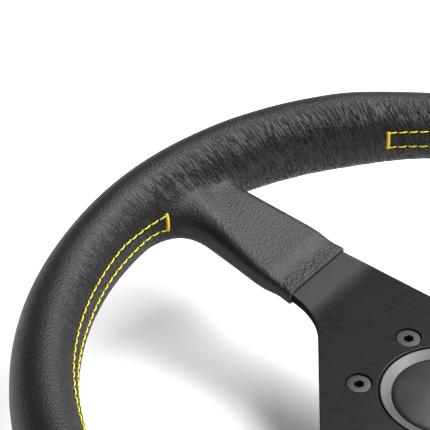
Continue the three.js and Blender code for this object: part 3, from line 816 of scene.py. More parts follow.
# %% A small builder for geometry node trees
class Steps:
    def __init__(self, name):
        self.tree = bpy.data.node_groups.new(name, "GeometryNodeTree")
        face = self.tree.interface
        face.new_socket("Geometry", in_out="INPUT", socket_type="NodeSocketGeometry")
        face.new_socket("Geometry", in_out="OUTPUT", socket_type="NodeSocketGeometry")
        self.start = self.tree.nodes.new("NodeGroupInput")
        self.end = self.tree.nodes.new("NodeGroupOutput")

    def input(self, name, value, kind="NodeSocketFloat"):
        socket = self.tree.interface.new_socket(name, in_out="INPUT", socket_type=kind)
        if value is not None:
            socket.default_value = value
        return self.start.outputs[name]

    def node(self, kind, inputs=None, **settings):
        made = self.tree.nodes.new(kind)
        for key, value in settings.items():
            setattr(made, key, value)
        for key, value in (inputs or {}).items():
            socket = made.inputs[key]
            if isinstance(value, bpy.types.NodeSocket):
                self.tree.links.new(value, socket)
            else:
                socket.default_value = value
        return made

    def finish(self, geometry, material):
        real = self.node("GeometryNodeRealizeInstances", {"Geometry": geometry})
        smooth = self.node("GeometryNodeSetShadeSmooth", {"Geometry": real.outputs[0]})
        made = self.node("GeometryNodeSetMaterial", {"Geometry": smooth.outputs[0]})
        made.inputs["Material"].default_value = material
        self.tree.links.new(made.outputs[0], self.end.inputs["Geometry"])
        return self.tree


def run_steps(obj, tree, **values):
    """Runs a tree on an object with its named inputs set, and keeps the result as a plain mesh."""
    modifier = obj.modifiers.new(tree.name, "NODES")
    modifier.node_group = tree
    for item in tree.interface.items_tree:
        if item.in_out == "INPUT" and item.name in values:
            modifier[item.identifier] = values[item.name]
    return apply_modifiers(obj)


# %% The thread's finish
def thread_finish(name, colour):
    f = Finish(name)
    twist = f.noise(f.place, 3200, detail=2)
    red, green, blue = colour
    between = (red * 0.72, green * 0.68, blue * 0.5, 1)
    tone = f.mix(f.remap(twist, 0.3, 0.7), (*colour, 1), between)
    rough = f.remap(twist, 0.3, 0.7, 0.55, 0.7)
    f.set(Base_Color=tone, Roughness=rough, Normal=f.bump(twist, 0.12, 0.6))
    f.surface.inputs["Sheen Weight"].default_value = 0.05
    return f.material


yellow_thread = thread_finish("yellow thread", (0.87, 0.74, 0.011))
golden_thread = thread_finish("golden bar tack thread", (0.92, 0.62, 0.012))

# %% The tree that sews a row
def sewing_tree(name, material):
    steps = Steps(name)
    pitch = steps.input("Pitch", 4.7 * MM)
    length = steps.input("Length", 4.3 * MM)
    thread = steps.input("Thread radius", 0.27 * MM)
    sink = steps.input("Sink", 0.35 * MM)
    rise = steps.input("Rise", 1.0 * MM)
    turn = steps.input("Turn", math.radians(5))
    wobble = steps.input("Wobble", math.radians(2.5))
    path = steps.node("GeometryNodeMeshToCurve", {"Mesh": steps.start.outputs["Geometry"]})
    spaced = steps.node(
        "GeometryNodeResampleCurve", {"Curve": path.outputs[0], "Length": pitch}, mode="LENGTH"
    )
    # one stitch: an arched thread that dives into the leather at both ends
    half = steps.node("ShaderNodeMath", {0: length, 1: 0.5}, operation="MULTIPLY").outputs[0]
    back = steps.node("ShaderNodeMath", {0: half, 1: -1.0}, operation="MULTIPLY").outputs[0]
    down = steps.node("ShaderNodeMath", {0: sink, 1: -1.0}, operation="MULTIPLY").outputs[0]
    first = steps.node("ShaderNodeCombineXYZ", {"X": back, "Z": down}).outputs[0]
    top = steps.node("ShaderNodeCombineXYZ", {"Z": rise}).outputs[0]
    last = steps.node("ShaderNodeCombineXYZ", {"X": half, "Z": down}).outputs[0]
    arch = steps.node(
        "GeometryNodeCurveQuadraticBezier",
        {"Resolution": 9, "Start": first, "Middle": top, "End": last},
    )
    round_thread = steps.node("GeometryNodeCurvePrimitiveCircle", {"Resolution": 10, "Radius": thread})
    stitch = steps.node(
        "GeometryNodeCurveToMesh",
        {"Curve": arch.outputs[0], "Profile Curve": round_thread.outputs[0], "Fill Caps": True},
    )
    # lay it along the path, facing away from the leather, with a hand's small unevenness
    facing = steps.node("GeometryNodeInputNamedAttribute", {"Name": "facing"}, data_type="FLOAT_VECTOR")
    tangent = steps.node("GeometryNodeInputTangent")
    lying = steps.node(
        "FunctionNodeAxesToRotation",
        {"Primary Axis": facing.outputs[0], "Secondary Axis": tangent.outputs[0]},
    )
    low = steps.node("ShaderNodeMath", {0: turn, 1: wobble}, operation="SUBTRACT").outputs[0]
    high = steps.node("ShaderNodeMath", {0: turn, 1: wobble}, operation="ADD").outputs[0]
    angle = steps.node("FunctionNodeRandomValue", data_type="FLOAT")
    steps.tree.links.new(low, angle.inputs[2])
    steps.tree.links.new(high, angle.inputs[3])
    angle.inputs["Seed"].default_value = 7
    spin = steps.node(
        "FunctionNodeAxisAngleToRotation", {"Axis": (0, 0, 1), "Angle": angle.outputs[1]}
    )
    turned = steps.node(
        "FunctionNodeRotateRotation",
        {"Rotation": lying.outputs[0], "Rotate By": spin.outputs[0]},
        rotation_space="LOCAL",
    )
    sewn = steps.node(
        "GeometryNodeInstanceOnPoints",
        {"Points": spaced.outputs[0], "Instance": stitch.outputs[0], "Rotation": turned.outputs[0]},
    )
    return steps.finish(sewn.outputs[0], material)


# %% Paths on the leather
leather_tree = BVHTree.FromPolygons(
    [v.co.copy() for v in leather.data.vertices], [tuple(p.vertices) for p in leather.data.polygons]
)


def on_leather(from_top, height):
    """A point on the rim's inner side, at an angle from the top of the wheel and a height from the
    rim's middle plane; and which way the leather faces there."""
    angle = math.radians(from_top)
    depth = float(rim_half_depth(np.array(abs(from_top))))
    width = grip_half_width + float(inner_fullness(abs(from_top)))
    radius = rim_radius - width * math.sqrt(1 - (height / depth) ** 2)
    place = np.array([[radius * math.sin(angle), radius * math.cos(angle), rim_plane + height]])
    place = pull_to_cover(place)[0]
    point, normal, _, _ = leather_tree.find_nearest(Vector(place * MM))
    return point, normal


def path_object(name, chains):
    """A mesh of edge chains; each point is (place, the way the leather faces there)."""
    vertices, edges, facing = [], [], []
    for chain in chains:
        start = len(vertices)
        vertices += [point for point, _ in chain]
        facing += [normal for _, normal in chain]
        edges += [(start + i, start + i + 1) for i in range(len(chain) - 1)]
    mesh = bpy.data.meshes.new(name)
    mesh.from_pydata(vertices, edges, [])
    set_attribute(mesh, "facing", np.array(facing), "FLOAT_VECTOR")
    obj = bpy.data.objects.new(name, mesh)
    scene.collection.objects.link(obj)
    return obj


# height of each row over the rim's middle plane: (degrees from the top, height)
lower_row = ((0, -1), (45, -1), (92, -2), (99, -0.8), (108, 0.8), (120, 1.4), (132, 4.5), (170, 4.5))
upper_row = ((0, 6.3), (45, 6.3), (92, 3.9), (97, 5), (102, 6.9), (114, 7.5), (132, 9.2), (170, 9))
sewn_runs = ((-44.9, 44.9), (90.8, 168.5), (-168.5, -90.8))


def row_height(row, from_top):
    return float(np.interp(abs(from_top), *np.array(row, dtype=float).T))


path_step = 1.5  # degrees between a row's path points
tack_room = 0.8  # degrees between a row's last stitch and its tack
tack_overlap = 0.4
rows = []
tacks = []
for start, end in sewn_runs:
    angles = np.linspace(start + tack_room, end - tack_room, int((end - start) / path_step))
    for row in (lower_row, upper_row):
        rows.append([on_leather(a, row_height(row, a)) for a in angles])
    for at in (start, end):
        low = row_height(lower_row, at) - tack_overlap
        high = row_height(upper_row, at) + tack_overlap
        tacks.append([on_leather(at, height) for height in np.linspace(low, high, 9)])

sewing = sewing_tree("sewing along a path", yellow_thread)
stitches = run_steps(path_object("yellow_stitches", rows), sewing)
tacking = sewing_tree("wrapping a bar tack", golden_thread)
bar_tacks = run_steps(
    path_object("bar_tacks", tacks), tacking,
    **{
        "Pitch": 0.4 * MM, "Length": 1.5 * MM, "Thread radius": 0.24 * MM, "Sink": 0.25 * MM,
        "Rise": 1.2 * MM, "Turn": math.radians(84), "Wobble": math.radians(5),
    },
)
for piece in (stitches, bar_tacks):
    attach(piece, "wheel")
print("stitches:", len(stitches.data.polygons), "faces; bar tacks:", len(bar_tacks.data.polygons))

# %% [markdown]
# ## Rounded outlines and turned pieces
#
# The metal pieces are either cut from sheet or turned on a lathe, and both start as a flat outline
# with rounded corners. One function rounds the corners; a second carries an outline round the
# wheel's axis; a third cuts holes with a Boolean, the way a drill would.

# %% Outlines, lathe and cutter
def rounded_points(corners, step=6.0):
    """A closed outline of (x, y, radius) corners, each rounded to an arc."""
    points = []
    count = len(corners)
    for i, (x, y, radius) in enumerate(corners):
        here = Vector((x, y))
        back = Vector(corners[i - 1][:2]) - here
        ahead = Vector(corners[(i + 1) % count][:2]) - here
        room = 0.49 * min(back.length, ahead.length)
        back.normalize()
        ahead.normalize()
        half = math.acos(max(-1, min(1, back.dot(ahead)))) / 2
        tangent = min(radius / math.tan(half), room) if half < math.pi / 2 - 0.01 else 0
        if tangent < 0.02:
            points.append((x, y))
            continue
        arc_radius = tangent * math.tan(half)
        centre = here + (back + ahead).normalized() * arc_radius / math.sin(half)
        start = here + back * tangent - centre
        turn = math.pi - 2 * half
        side = math.copysign(1, ahead.x * back.y - ahead.y * back.x)
        steps = max(1, round(math.degrees(turn) / step))
        for k in range(steps + 1):
            at = Matrix.Rotation(side * turn * k / steps, 2) @ start
            points.append((centre.x + at.x, centre.y + at.y))
    return points


weld_distance = 0.002


def tidy_mesh(mesh):
    """Joins corners that meet, drops faces without area and turns the rest outwards."""
    work = bmesh.new()
    work.from_mesh(mesh)
    bmesh.ops.remove_doubles(work, verts=work.verts, dist=weld_distance * MM)
    bmesh.ops.dissolve_degenerate(work, edges=work.edges, dist=weld_distance * MM)
    bmesh.ops.recalc_face_normals(work, faces=work.faces)
    work.to_mesh(mesh)
    work.free()


def shade(obj, angle=32):
    """Smooth faces, sharp only where they meet at more than an angle."""
    for polygon in obj.data.polygons:
        polygon.use_smooth = True
    obj.data.set_sharp_from_angle(angle=math.radians(angle))
    return obj


def lathe(name, corners, segments=96, centre=(0, 0)):
    """Carries a closed outline of (radius, height, corner radius) round a vertical axis."""
    profile = rounded_points(corners, 18)
    count = len(profile)
    vertices, faces = [], []
    for i in range(segments):
        angle = 2 * math.pi * i / segments
        for r, z in profile:
            vertices.append((centre[0] + r * math.cos(angle), centre[1] + r * math.sin(angle), z))
    for i in range(segments):
        a, b = i * count, ((i + 1) % segments) * count
        for k in range(count):
            n = (k + 1) % count
            if profile[k][0] > 1e-6 or profile[n][0] > 1e-6:
                faces.append((a + k, a + n, b + n, b + k))
    obj = mesh_object(name, vertices, faces)
    tidy_mesh(obj.data)
    return obj


def cut_away(obj, cutters):
    """Cuts the cutters' shapes out of the object."""
    cutter = join_objects(cutters, "cutter")
    turn_faces_out(cutter)
    modifier = obj.modifiers.new("cut", "BOOLEAN")
    modifier.operation = "DIFFERENCE"
    modifier.solver = "EXACT"
    modifier.use_self = True
    modifier.object = cutter
    apply_modifiers(obj)
    old = cutter.data
    bpy.data.objects.remove(cutter)
    bpy.data.meshes.remove(old)
    tidy_mesh(obj.data)
    return obj


def turned_about(obj, degrees):
    """Turns a helper's mesh about the wheel's axis."""
    obj.data.transform(Matrix.Rotation(math.radians(degrees), 4, "Z"))
    return obj


def dress(obj, material, slot, body, *nodes):
    """Gives a finished piece its material, the body it rides on and what it stands for."""
    obj.data.materials.clear()
    obj.data.materials.append(material)
    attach(obj, body)
    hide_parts(*nodes)
    return obj


# %% [markdown]
# ## Finishes for metal, plastic and rubber
#
# Turned metal shows fine rings, sheet shows straight brush marks, blasted and anodised surfaces
# show an even fine grain. Each recipe below makes its marks from noise that is stretched the way
# the tool moved, and adds a little uneven wear so that no surface is quite uniform.

# %% Recipes
def turned_place(f):
    """Radius and height only: what is drawn with it forms rings round the axis."""
    split = f.node("ShaderNodeSeparateXYZ")
    f.feed(split.inputs[0], f.place)
    x, y, z = split.outputs
    radius = f.math("SQRT", f.math("ADD", f.math("MULTIPLY", x, x), f.math("MULTIPLY", y, y)))
    join = f.node("ShaderNodeCombineXYZ")
    f.feed(join.inputs[0], radius)
    f.feed(join.inputs[2], z)
    return join.outputs[0]


wear = 0.06  # how far smudges change a metal's roughness


def metal_finish(name, tone, rough, marks="turned", relief=0.012):
    f = Finish(name)
    if marks == "turned":
        lines = f.noise(turned_place(f), 5200, detail=2)
    else:
        lines = f.noise(f.place, 6500, detail=1)
    patchy = f.noise(f.place, 70, detail=4)
    smudge = f.noise(f.stretch(f.place, (1, 1.6, 1), shift=(0.3, 0.1, 0)), 28, detail=2)
    darker = tuple(c * 0.82 for c in tone) + (1,)
    colour = f.mix(f.remap(lines, 0.3, 0.7), darker, (*tone, 1))
    colour = f.mix(f.remap(patchy, 0.45, 0.75, 0, 0.5), colour, darker)
    smudged = f.remap(smudge, 0.3, 0.7, rough - wear, rough + wear)
    roughness = f.math("ADD", smudged, f.remap(lines, 0.2, 0.8, -0.03, 0.03))
    normal = f.bump(lines, relief, 0.7)
    normal = f.bump(patchy, relief * 2, 0.15, normal)
    f.set(Base_Color=colour, Roughness=roughness, Normal=normal)
    f.surface.inputs["Metallic"].default_value = 1.0
    return f.material


def matt_finish(name, tone, rough, grain_scale=2600, relief=0.03):
    f = Finish(name)
    grain = f.cells(f.place, grain_scale, smoothness=0.5)
    patchy = f.noise(f.place, 60, detail=4)
    lighter = tuple(c * 1.35 for c in tone) + (1,)
    colour = f.mix(f.remap(patchy, 0.35, 0.75), (*tone, 1), lighter)
    roughness = f.remap(patchy, 0.3, 0.7, rough - 0.06, rough + 0.06)
    f.set(Base_Color=colour, Roughness=roughness, Normal=f.bump(grain, relief, 0.5))
    return f.material


anodised_turned = metal_finish("black anodised, turned", (0.035, 0.035, 0.037), 0.38)
bare_aluminium = metal_finish("bare aluminium, turned", (0.62, 0.63, 0.65), 0.33)
black_steel = metal_finish("blackened steel", (0.07, 0.07, 0.075), 0.4, marks="grain")
bright_steel = metal_finish("polished steel", (0.66, 0.67, 0.68), 0.16, marks="grain", relief=0.003)
screw_steel = metal_finish("screw steel", (0.065, 0.065, 0.067), 0.5, marks="grain", relief=0.006)
spring_steel = metal_finish("spring wire", (0.42, 0.42, 0.43), 0.3, marks="grain", relief=0.004)
brass = metal_finish("contact brass", (0.78, 0.55, 0.22), 0.28, marks="grain", relief=0.004)
black_plastic = matt_finish("black plastic", (0.012, 0.012, 0.012), 0.42)
grey_ring = matt_finish("grey horn ring", (0.045, 0.045, 0.047), 0.5, relief=0.015)
black_rubber = matt_finish("black rubber", (0.014, 0.014, 0.014), 0.7, grain_scale=1800)


brush_angle = -9  # degrees between the brush marks and the side arms


def plate_finish():
    """Brushed sheet, dyed black: long fine scratches that catch the light across their length.

    The place is turned first and stretched afterwards, so the scratches follow the turned axis.
    """
    f = Finish("black anodised sheet, brushed")
    turned = f.stretch(f.place, (1, 1, 1), turn=(0, 0, math.radians(brush_angle)))
    fine = f.noise(f.stretch(turned, (0.04, 1, 1)), 2600, detail=3, roughness=0.6)
    coarse = f.noise(f.stretch(turned, (0.06, 1, 1)), 1200, detail=3)
    patchy = f.noise(f.place, 40, detail=4)
    lines = f.math("ADD", f.math("MULTIPLY", fine, 0.8), f.math("MULTIPLY", coarse, 0.2))
    colour = f.mix(f.remap(lines, 0.35, 0.65), grey(0.007), grey(0.014))
    colour = f.mix(f.remap(patchy, 0.4, 0.7, 0, 0.35), colour, grey(0.009))
    scratched = f.remap(lines, 0.3, 0.7, -0.05, 0.05)
    roughness = f.math("ADD", f.remap(patchy, 0.3, 0.7, 0.27, 0.33), scratched)
    f.set(Base_Color=colour, Roughness=roughness, Normal=f.bump(lines, 0.05, 0.85))
    f.surface.inputs["Metallic"].default_value = 0.1
    f.surface.inputs["Specular IOR Level"].default_value = 0.14
    return f.material


brushed_sheet = plate_finish()
cut_edge_finish = matt_finish("laser cut edge, black", (0.004, 0.004, 0.004), 0.75, grain_scale=2200)
cut_edge_finish.node_tree.nodes["Principled BSDF"].inputs["Specular IOR Level"].default_value = 0.06
print("finishes:", len(bpy.data.materials))

# %% [markdown]
# ## The spoke plate
#
# One sheet of four millimetre metal carries the whole wheel. The real plate is laser cut, brushed,
# bent on a press and anodised black. The steps here are the same: a flat outline is filled,
# thickened and its edges broken, then bent upwards along each spoke, and the holes are drilled.

# %% The flat sheet
hub_corner_x = bend_at - 0.8
hub_side_slope = math.tan(math.radians(52))
rim_corner, hub_corner, side_fillet, lower_fillet = 3, 25, 25, 35
lower_corner_y = arm_bottom - (hub_corner_x - lower_half_width) * hub_side_slope
right_half = [
    (lower_half_width_at_rim, -tongue_end, rim_corner),
    (lower_half_width, lower_corner_y, lower_fillet),
    (hub_corner_x, arm_bottom, side_fillet),
    (tongue_end, arm_bottom_at_rim, rim_corner),
    (tongue_end, arm_top_at_rim, rim_corner),
    (bend_at, arm_top, hub_corner),
]
left_half = [(-x, y, radius) for x, y, radius in reversed(right_half)]
plate_outline = rounded_points(right_half + left_half, 2.5)
horn_hole = 27.1
horn_hole_outline = [
    (horn_hole * math.cos(a), horn_hole * math.sin(a)) for a in np.linspace(0, math.tau, 121)[:-1]
]


def filled_sheet(outlines, thickness, broken_edge):
    """A flat sheet from closed outlines, the first the outside and the rest holes."""
    work = bmesh.new()
    for outline in outlines:
        loop = [work.verts.new((x * MM, y * MM, 0)) for x, y in outline]
        for a, b in zip(loop, loop[1:] + loop[:1]):
            work.edges.new((a, b))
    bmesh.ops.triangle_fill(work, edges=work.edges[:], use_beauty=True, normal=(0, 0, 1))
    # lines across each spoke, close together where the sheet bends
    within = np.linspace(-bend_length / 2, bend_length / 2, 9)
    bends = [at + k for at in (bend_at, tongue_start) for k in within]
    for direction in ((1, 0, 0), (-1, 0, 0), (0, -1, 0)):
        for at in bends:
            everything = work.verts[:] + work.edges[:] + work.faces[:]
            bmesh.ops.bisect_plane(
                work, geom=everything, plane_co=Vector(direction) * at * MM, plane_no=direction
            )
    made = bmesh.ops.extrude_face_region(work, geom=work.faces[:])["geom"]
    for g in made:
        if isinstance(g, bmesh.types.BMVert):
            g.co.z += thickness * MM
    bmesh.ops.recalc_face_normals(work, faces=work.faces)
    level = [e for e in work.edges if abs(e.verts[0].co.z - e.verts[1].co.z) < 0.1 * MM]
    corners = [e for e in level if len(e.link_faces) == 2 and e.calc_face_angle() > 1.2]
    bmesh.ops.bevel(
        work, geom=corners, offset=broken_edge * MM, segments=2, affect="EDGES", profile=0.5
    )
    mesh = bpy.data.meshes.new("spoke_plate_brushed")
    work.to_mesh(mesh)
    work.free()
    obj = bpy.data.objects.new("spoke_plate_brushed", mesh)
    scene.collection.objects.link(obj)
    return obj


def bend_sheet(obj):
    """Lifts the flat sheet to the plate's height along each spoke."""
    points = vertex_array(obj.data)
    along = np.maximum(np.abs(points[:, 0]), -points[:, 1])
    points[:, 2] += plate_middle(along) - plate_thickness / 2
    set_vertex_array(obj.data, points)


plate = filled_sheet([plate_outline, horn_hole_outline], plate_thickness, 0.3)
bend_sheet(plate)

# %% Drill the countersunk holes
screw_circle = 35.0
screw_angles = (30, 90, 150, 210, 270, 330)
screw_radius, head_radius, countersink_radius = 2.5, 5.0, 5.6
screw_length = 10
socket_radius, socket_depth = 2.15, 3
screw_top = plate_front - 0.7
cone_bottom = plate_front - 3.5


def countersink(room, bottom):
    """A cutter with the screw's shape and some room round its shank."""
    return lathe("countersink", [
        (0, bottom, 0),
        (screw_radius + room, bottom, 0),
        (screw_radius + room, cone_bottom + room - 0.15, 0),
        (countersink_radius, cone_bottom + 2.95, 0),
        (countersink_radius, plate_front + 1, 0),
        (0, plate_front + 1, 0),
    ], segments=64, centre=(screw_circle, 0))


cut_away(plate, [turned_about(countersink(0.25, plate_back - 1), a) for a in screw_angles])
dress(plate, brushed_sheet, "black_anodised_plate", "wheel", "spoke_plate")
plate.data.materials.append(cut_edge_finish)
for polygon in plate.data.polygons:
    polygon.use_smooth = abs(polygon.normal.z) < 0.9
    polygon.material_index = 1 if abs(polygon.normal.z) < 0.5 else 0
print("plate:", len(plate.data.polygons), "faces")

# %% [markdown]
# ## Hub screws
#
# Six equal countersunk screws hold the plate on the hub. One is turned and given its hexagon
# socket, and Geometry Nodes put it in its six places, each turned to a different angle as a real
# screw ends up wherever it is tight.

# %% One screw, six places
def hub_screw():
    screw = lathe("one_screw", [
        (0, screw_top - screw_length, 0),
        (screw_radius, screw_top - screw_length, 0.5),
        (screw_radius, cone_bottom, 0.1),
        (head_radius, cone_bottom + head_radius - screw_radius, 0.1),
        (head_radius, screw_top, 0.22),
        (0, screw_top, 0),
    ], segments=64)
    angles = np.linspace(0, math.tau, 7)[:-1]
    socket = [(socket_radius * math.cos(a), socket_radius * math.sin(a)) for a in angles]
    # the hexagon's mouth opens out a little
    stations = ((-socket_depth, 1.0), (-0.25, 1.0), (0.1, 1.18))
    rings = [[(x * grow, y * grow, screw_top + z) for x, y in socket] for z, grow in stations]
    cut_away(screw, [mesh_object("hexagon", *swept_rings(rings))])
    return shade(screw, 25)


def placing_tree(name, material):
    """Puts an object on every point, turned at random about the vertical."""
    steps = Steps(name)
    thing = steps.input("Thing", None, "NodeSocketObject")
    seed = steps.input("Seed", 4, "NodeSocketInt")
    info = steps.node("GeometryNodeObjectInfo", {"Object": thing})
    points = steps.node("GeometryNodeMeshToPoints", {"Mesh": steps.start.outputs["Geometry"]})
    angle = steps.node("FunctionNodeRandomValue", data_type="FLOAT")
    angle.inputs[2].default_value = 0.0
    angle.inputs[3].default_value = math.tau
    steps.tree.links.new(seed, angle.inputs["Seed"])
    spin = steps.node(
        "FunctionNodeAxisAngleToRotation", {"Axis": (0, 0, 1), "Angle": angle.outputs[1]}
    )
    placing = {
        "Points": points.outputs[0],
        "Instance": info.outputs["Geometry"],
        "Rotation": spin.outputs[0],
    }
    placed = steps.node("GeometryNodeInstanceOnPoints", placing)
    real = steps.node("GeometryNodeRealizeInstances", {"Geometry": placed.outputs[0]})
    dressed = steps.node("GeometryNodeSetMaterial", {"Geometry": real.outputs[0]})
    dressed.inputs["Material"].default_value = material
    steps.tree.links.new(dressed.outputs[0], steps.end.inputs["Geometry"])
    return steps.tree


def points_object(name, places):
    mesh = bpy.data.meshes.new(name)
    mesh.from_pydata([tuple(c * MM for c in p) for p in places], [], [])
    obj = bpy.data.objects.new(name, mesh)
    scene.collection.objects.link(obj)
    return obj


one_screw = hub_screw()
screw_places = [
    (screw_circle * math.cos(math.radians(a)), screw_circle * math.sin(math.radians(a)), 0)
    for a in screw_angles
]
hub_screws = run_steps(
    points_object("hub_screws", screw_places), placing_tree("placing screws", screw_steel),
    **{"Thing": one_screw, "Seed": 4},
)
bpy.data.objects.remove(one_screw)
hub_screw_nodes = [f"hub_screw_{i}" for i in range(1, 7)]
dress(hub_screws, screw_steel, "black_steel", "wheel", *hub_screw_nodes)
print("hub screws:", len(hub_screws.data.polygons), "faces")

# %% [markdown]
# ## Horn button
#
# A dark grey plastic ring with a conical face, and a low black cap that moves when it is pressed. Both
# are turned shapes with small rounded edges, which is what makes a moulded edge catch light.

# %% Ring, cap, housing and contacts
bezel_outer = horn_hole - 0.7
bezel_inner = bezel_outer - 4.8
bezel_bottom = plate_front - 3.5
cap_edge = plate_front - 1.8
cap_radius = bezel_inner - 0.4
spigot = bezel_outer - 2.3

horn_ring = shade(lathe("horn_ring", [
    (bezel_outer, bezel_bottom, 0.2),
    (bezel_outer, plate_front + 0.2, 0.5),
    (bezel_inner, plate_front - 1.95, 0.4),
    (bezel_inner, bezel_bottom, 0.2),
    (spigot - 1.6, bezel_bottom, 0),
    (spigot - 1.6, bezel_bottom - 3, 0.3),
    (spigot, bezel_bottom - 3, 0.3),
    (spigot, bezel_bottom, 0),
], segments=160))
dress(horn_ring, grey_ring, "grey_ring", "wheel", "horn_bezel")

dome = [
    (cap_radius * share, cap_edge + 2.2 * (1 - share * share), 0)
    for share in np.linspace(0.98, 0, 16)
]
horn_cap = shade(lathe("horn_cap_domed", [
    (cap_radius, cap_edge - 0.3, 0.25),
    *dome,
    (0, cap_edge - 5.3, 0),
    (3, cap_edge - 5.3, 0.2),
    (3, cap_edge - 1.6, 0.3),
    (cap_radius - 1.6, cap_edge - 1.8, 0.3),
    (cap_radius - 1.6, bezel_bottom - 1.1, 0.2),
    (spigot - 1.9, bezel_bottom - 1.1, 0.2),
    (spigot - 1.9, bezel_bottom - 0.1, 0.2),
    (cap_radius, bezel_bottom - 0.1, 0.1),
], segments=160))
dress(horn_cap, black_plastic, "black_plastic", "horn_button", "horn_cap")


def smooth_copy(node, material, slot, edge=0.12):
    """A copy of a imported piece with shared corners, broken edges and even shading."""
    source = frame["nodes"][node]
    obj = bpy.data.objects.new(node + "_finished", source.data.copy())
    scene.collection.objects.link(obj)
    tidy_mesh(obj.data)
    work = bmesh.new()
    work.from_mesh(obj.data)
    bmesh.ops.dissolve_limit(
        work, angle_limit=math.radians(0.6), verts=work.verts[:], edges=work.edges[:]
    )
    work.to_mesh(obj.data)
    work.free()
    broken = obj.modifiers.new("broken_edges", "BEVEL")
    broken.width = edge * MM
    broken.segments = 2
    broken.limit_method = "ANGLE"
    broken.angle_limit = math.radians(40)
    broken.use_clamp_overlap = True
    apply_modifiers(obj)
    shade(obj, 34)
    return dress(obj, material, slot, source["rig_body"], node)


smooth_copy("horn_housing", black_plastic, "black_plastic")
smooth_copy("horn_contact_disc", brass, "contact_brass")
smooth_copy("horn_contact_stud", brass, "contact_brass")
for node in ("horn_terminal_1", "horn_terminal_2"):
    smooth_copy(node, brass, "contact_brass", edge=0.08)

# %% [markdown]
# ## Quick release hub
#
# The hub is turned from bar. Its flange carries the plate, its barrel slides over the steering
# column, and a sprung collar round the barrel holds six balls in a groove of the column. The lathe
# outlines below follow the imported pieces, with finer steps and broken edges, and the same holes
# are cut in them.

# %% Adapter flange and barrel
hub_top = plate_back - 0.1
flange_bottom = hub_top - 6
barrel_height = 26.0
recess_floor = barrel_height + 4.1
flange_radius = 43.0
flange_body = 32.0
recess_radius, housing_seat = 28.5, 31.2
bore_radius, barrel_radius = 15.7, 20.7
barrel_screw_circle = (bore_radius + barrel_radius) / 2
ball_radius, ball_centre, ball_height = 3.5, 17.4, 11.7
collar_bottom, collar_top = 3.2, 20.5
sixths, quarters, twelfths = range(0, 360, 60), range(45, 360, 90), range(0, 360, 30)

flange = lathe("adapter_flange_turned", [
    (5, barrel_height + 0.1, 0.3),
    (flange_body, barrel_height + 0.1, 2.0),
    (flange_body, flange_bottom - 3, 2.5),
    (flange_body + 3, flange_bottom, 0.6),
    (flange_radius, flange_bottom, 1.0),
    (flange_radius, hub_top, 1.0),
    (housing_seat, hub_top, 0.2),
    (housing_seat, hub_top - 2.1, 0),
    (recess_radius, hub_top - 2.1, 0.2),
    (recess_radius, recess_floor, 0.8),
    (5, recess_floor, 0.3),
], segments=160)


def drill(radius, bottom, top, out, segments=48):
    """A straight round cutter, standing at a distance from the wheel's axis."""
    corners = [(0, bottom, 0), (radius, bottom, 0), (radius, top, 0), (0, top, 0)]
    return lathe("drill", corners, segments, centre=(out, 0))


def flange_scallop():
    return drill(7, flange_bottom - 1, hub_top + 1, flange_radius + 4)


def barrel_screw_hole(radius, bottom, top):
    return drill(radius, bottom, top, barrel_screw_circle, 24)


def flange_screw_hole():
    return barrel_screw_hole(1.7, barrel_height - 1, recess_floor + 1)


cutters = [turned_about(countersink(0.1, flange_bottom - 4), a) for a in screw_angles]
cutters += [turned_about(flange_scallop(), a) for a in sixths]
cutters += [turned_about(flange_screw_hole(), a) for a in quarters]
cut_away(flange, cutters)
dress(shade(flange, 30), anodised_turned, "black_anodised_plate", "wheel", "adapter_flange")
print("adapter flange:", len(flange.data.polygons), "faces")

barrel = lathe("socket_barrel_turned", [
    (bore_radius, 0, 1.0),
    (barrel_radius, 0, 0.8),
    (barrel_radius, 1, 0),
    (barrel_radius - 1.1, 1, 0),
    (barrel_radius - 1.1, 2, 0),
    (barrel_radius, 2, 0),
    (barrel_radius, barrel_height, 0.2),
    (bore_radius - 1.5, barrel_height, 0.2),
    (bore_radius - 1.5, barrel_height - 10, 0.2),
    (bore_radius, barrel_height - 11.5, 0.2),
], segments=144)


def block(x0, x1, y0, y1, z0, z1):
    """A square-cornered cutter between two limits each way."""
    ring = [(x0, y0), (x1, y0), (x1, y1), (x0, y1)]
    return mesh_object("block", *swept_rings([[(x, y, z) for x, y in ring] for z in (z0, z1)]))


def ball_hole(radius, out):
    """A round cutter lying along a radius of the wheel."""
    cutter = drill(radius, 0, out, 0, 40)
    cutter.data.transform(Matrix.Rotation(math.radians(90), 4, "Y"))
    cutter.data.transform(Matrix.Translation((0, 0, ball_height * MM)))
    return cutter


tooth = math.pi * bore_radius / 12
rubber_radius, rubber_height = 16.0, 4.6  # where the anti-rattle ring lies in the barrel's mouth


def tooth_gap():
    """A slot between two splines."""
    return block(bore_radius - 3.5, bore_radius, -tooth / 2, tooth / 2, 14, barrel_height + 1)


def thread_hole():
    return barrel_screw_hole(1.6, barrel_height - 7, barrel_height + 1)


def round_section(radius, sides):
    """A round outline about the anti-rattle ring's middle."""
    angles = np.linspace(0, math.tau, sides + 1)[:-1]
    return [
        (rubber_radius + radius * math.cos(a), rubber_height + radius * math.sin(a), 0)
        for a in angles
    ]


cutters = [turned_about(tooth_gap(), a) for a in twelfths]
cutters += [turned_about(ball_hole(ball_radius + 0.1, 26), a) for a in sixths]
cutters += [turned_about(thread_hole(), a) for a in quarters]
cutters.append(lathe("ring_groove", round_section(1.15, 16), segments=144))
cut_away(barrel, cutters)
dress(shade(barrel, 30), bare_aluminium, "bare_aluminium", "wheel", "socket_barrel")
print("barrel:", len(barrel.data.polygons), "faces")

rubber_ring = shade(lathe("anti_rattle_ring_round", round_section(1.0, 20), segments=144))
dress(rubber_ring, black_rubber, "black_rubber", "wheel", "anti_rattle_ring")

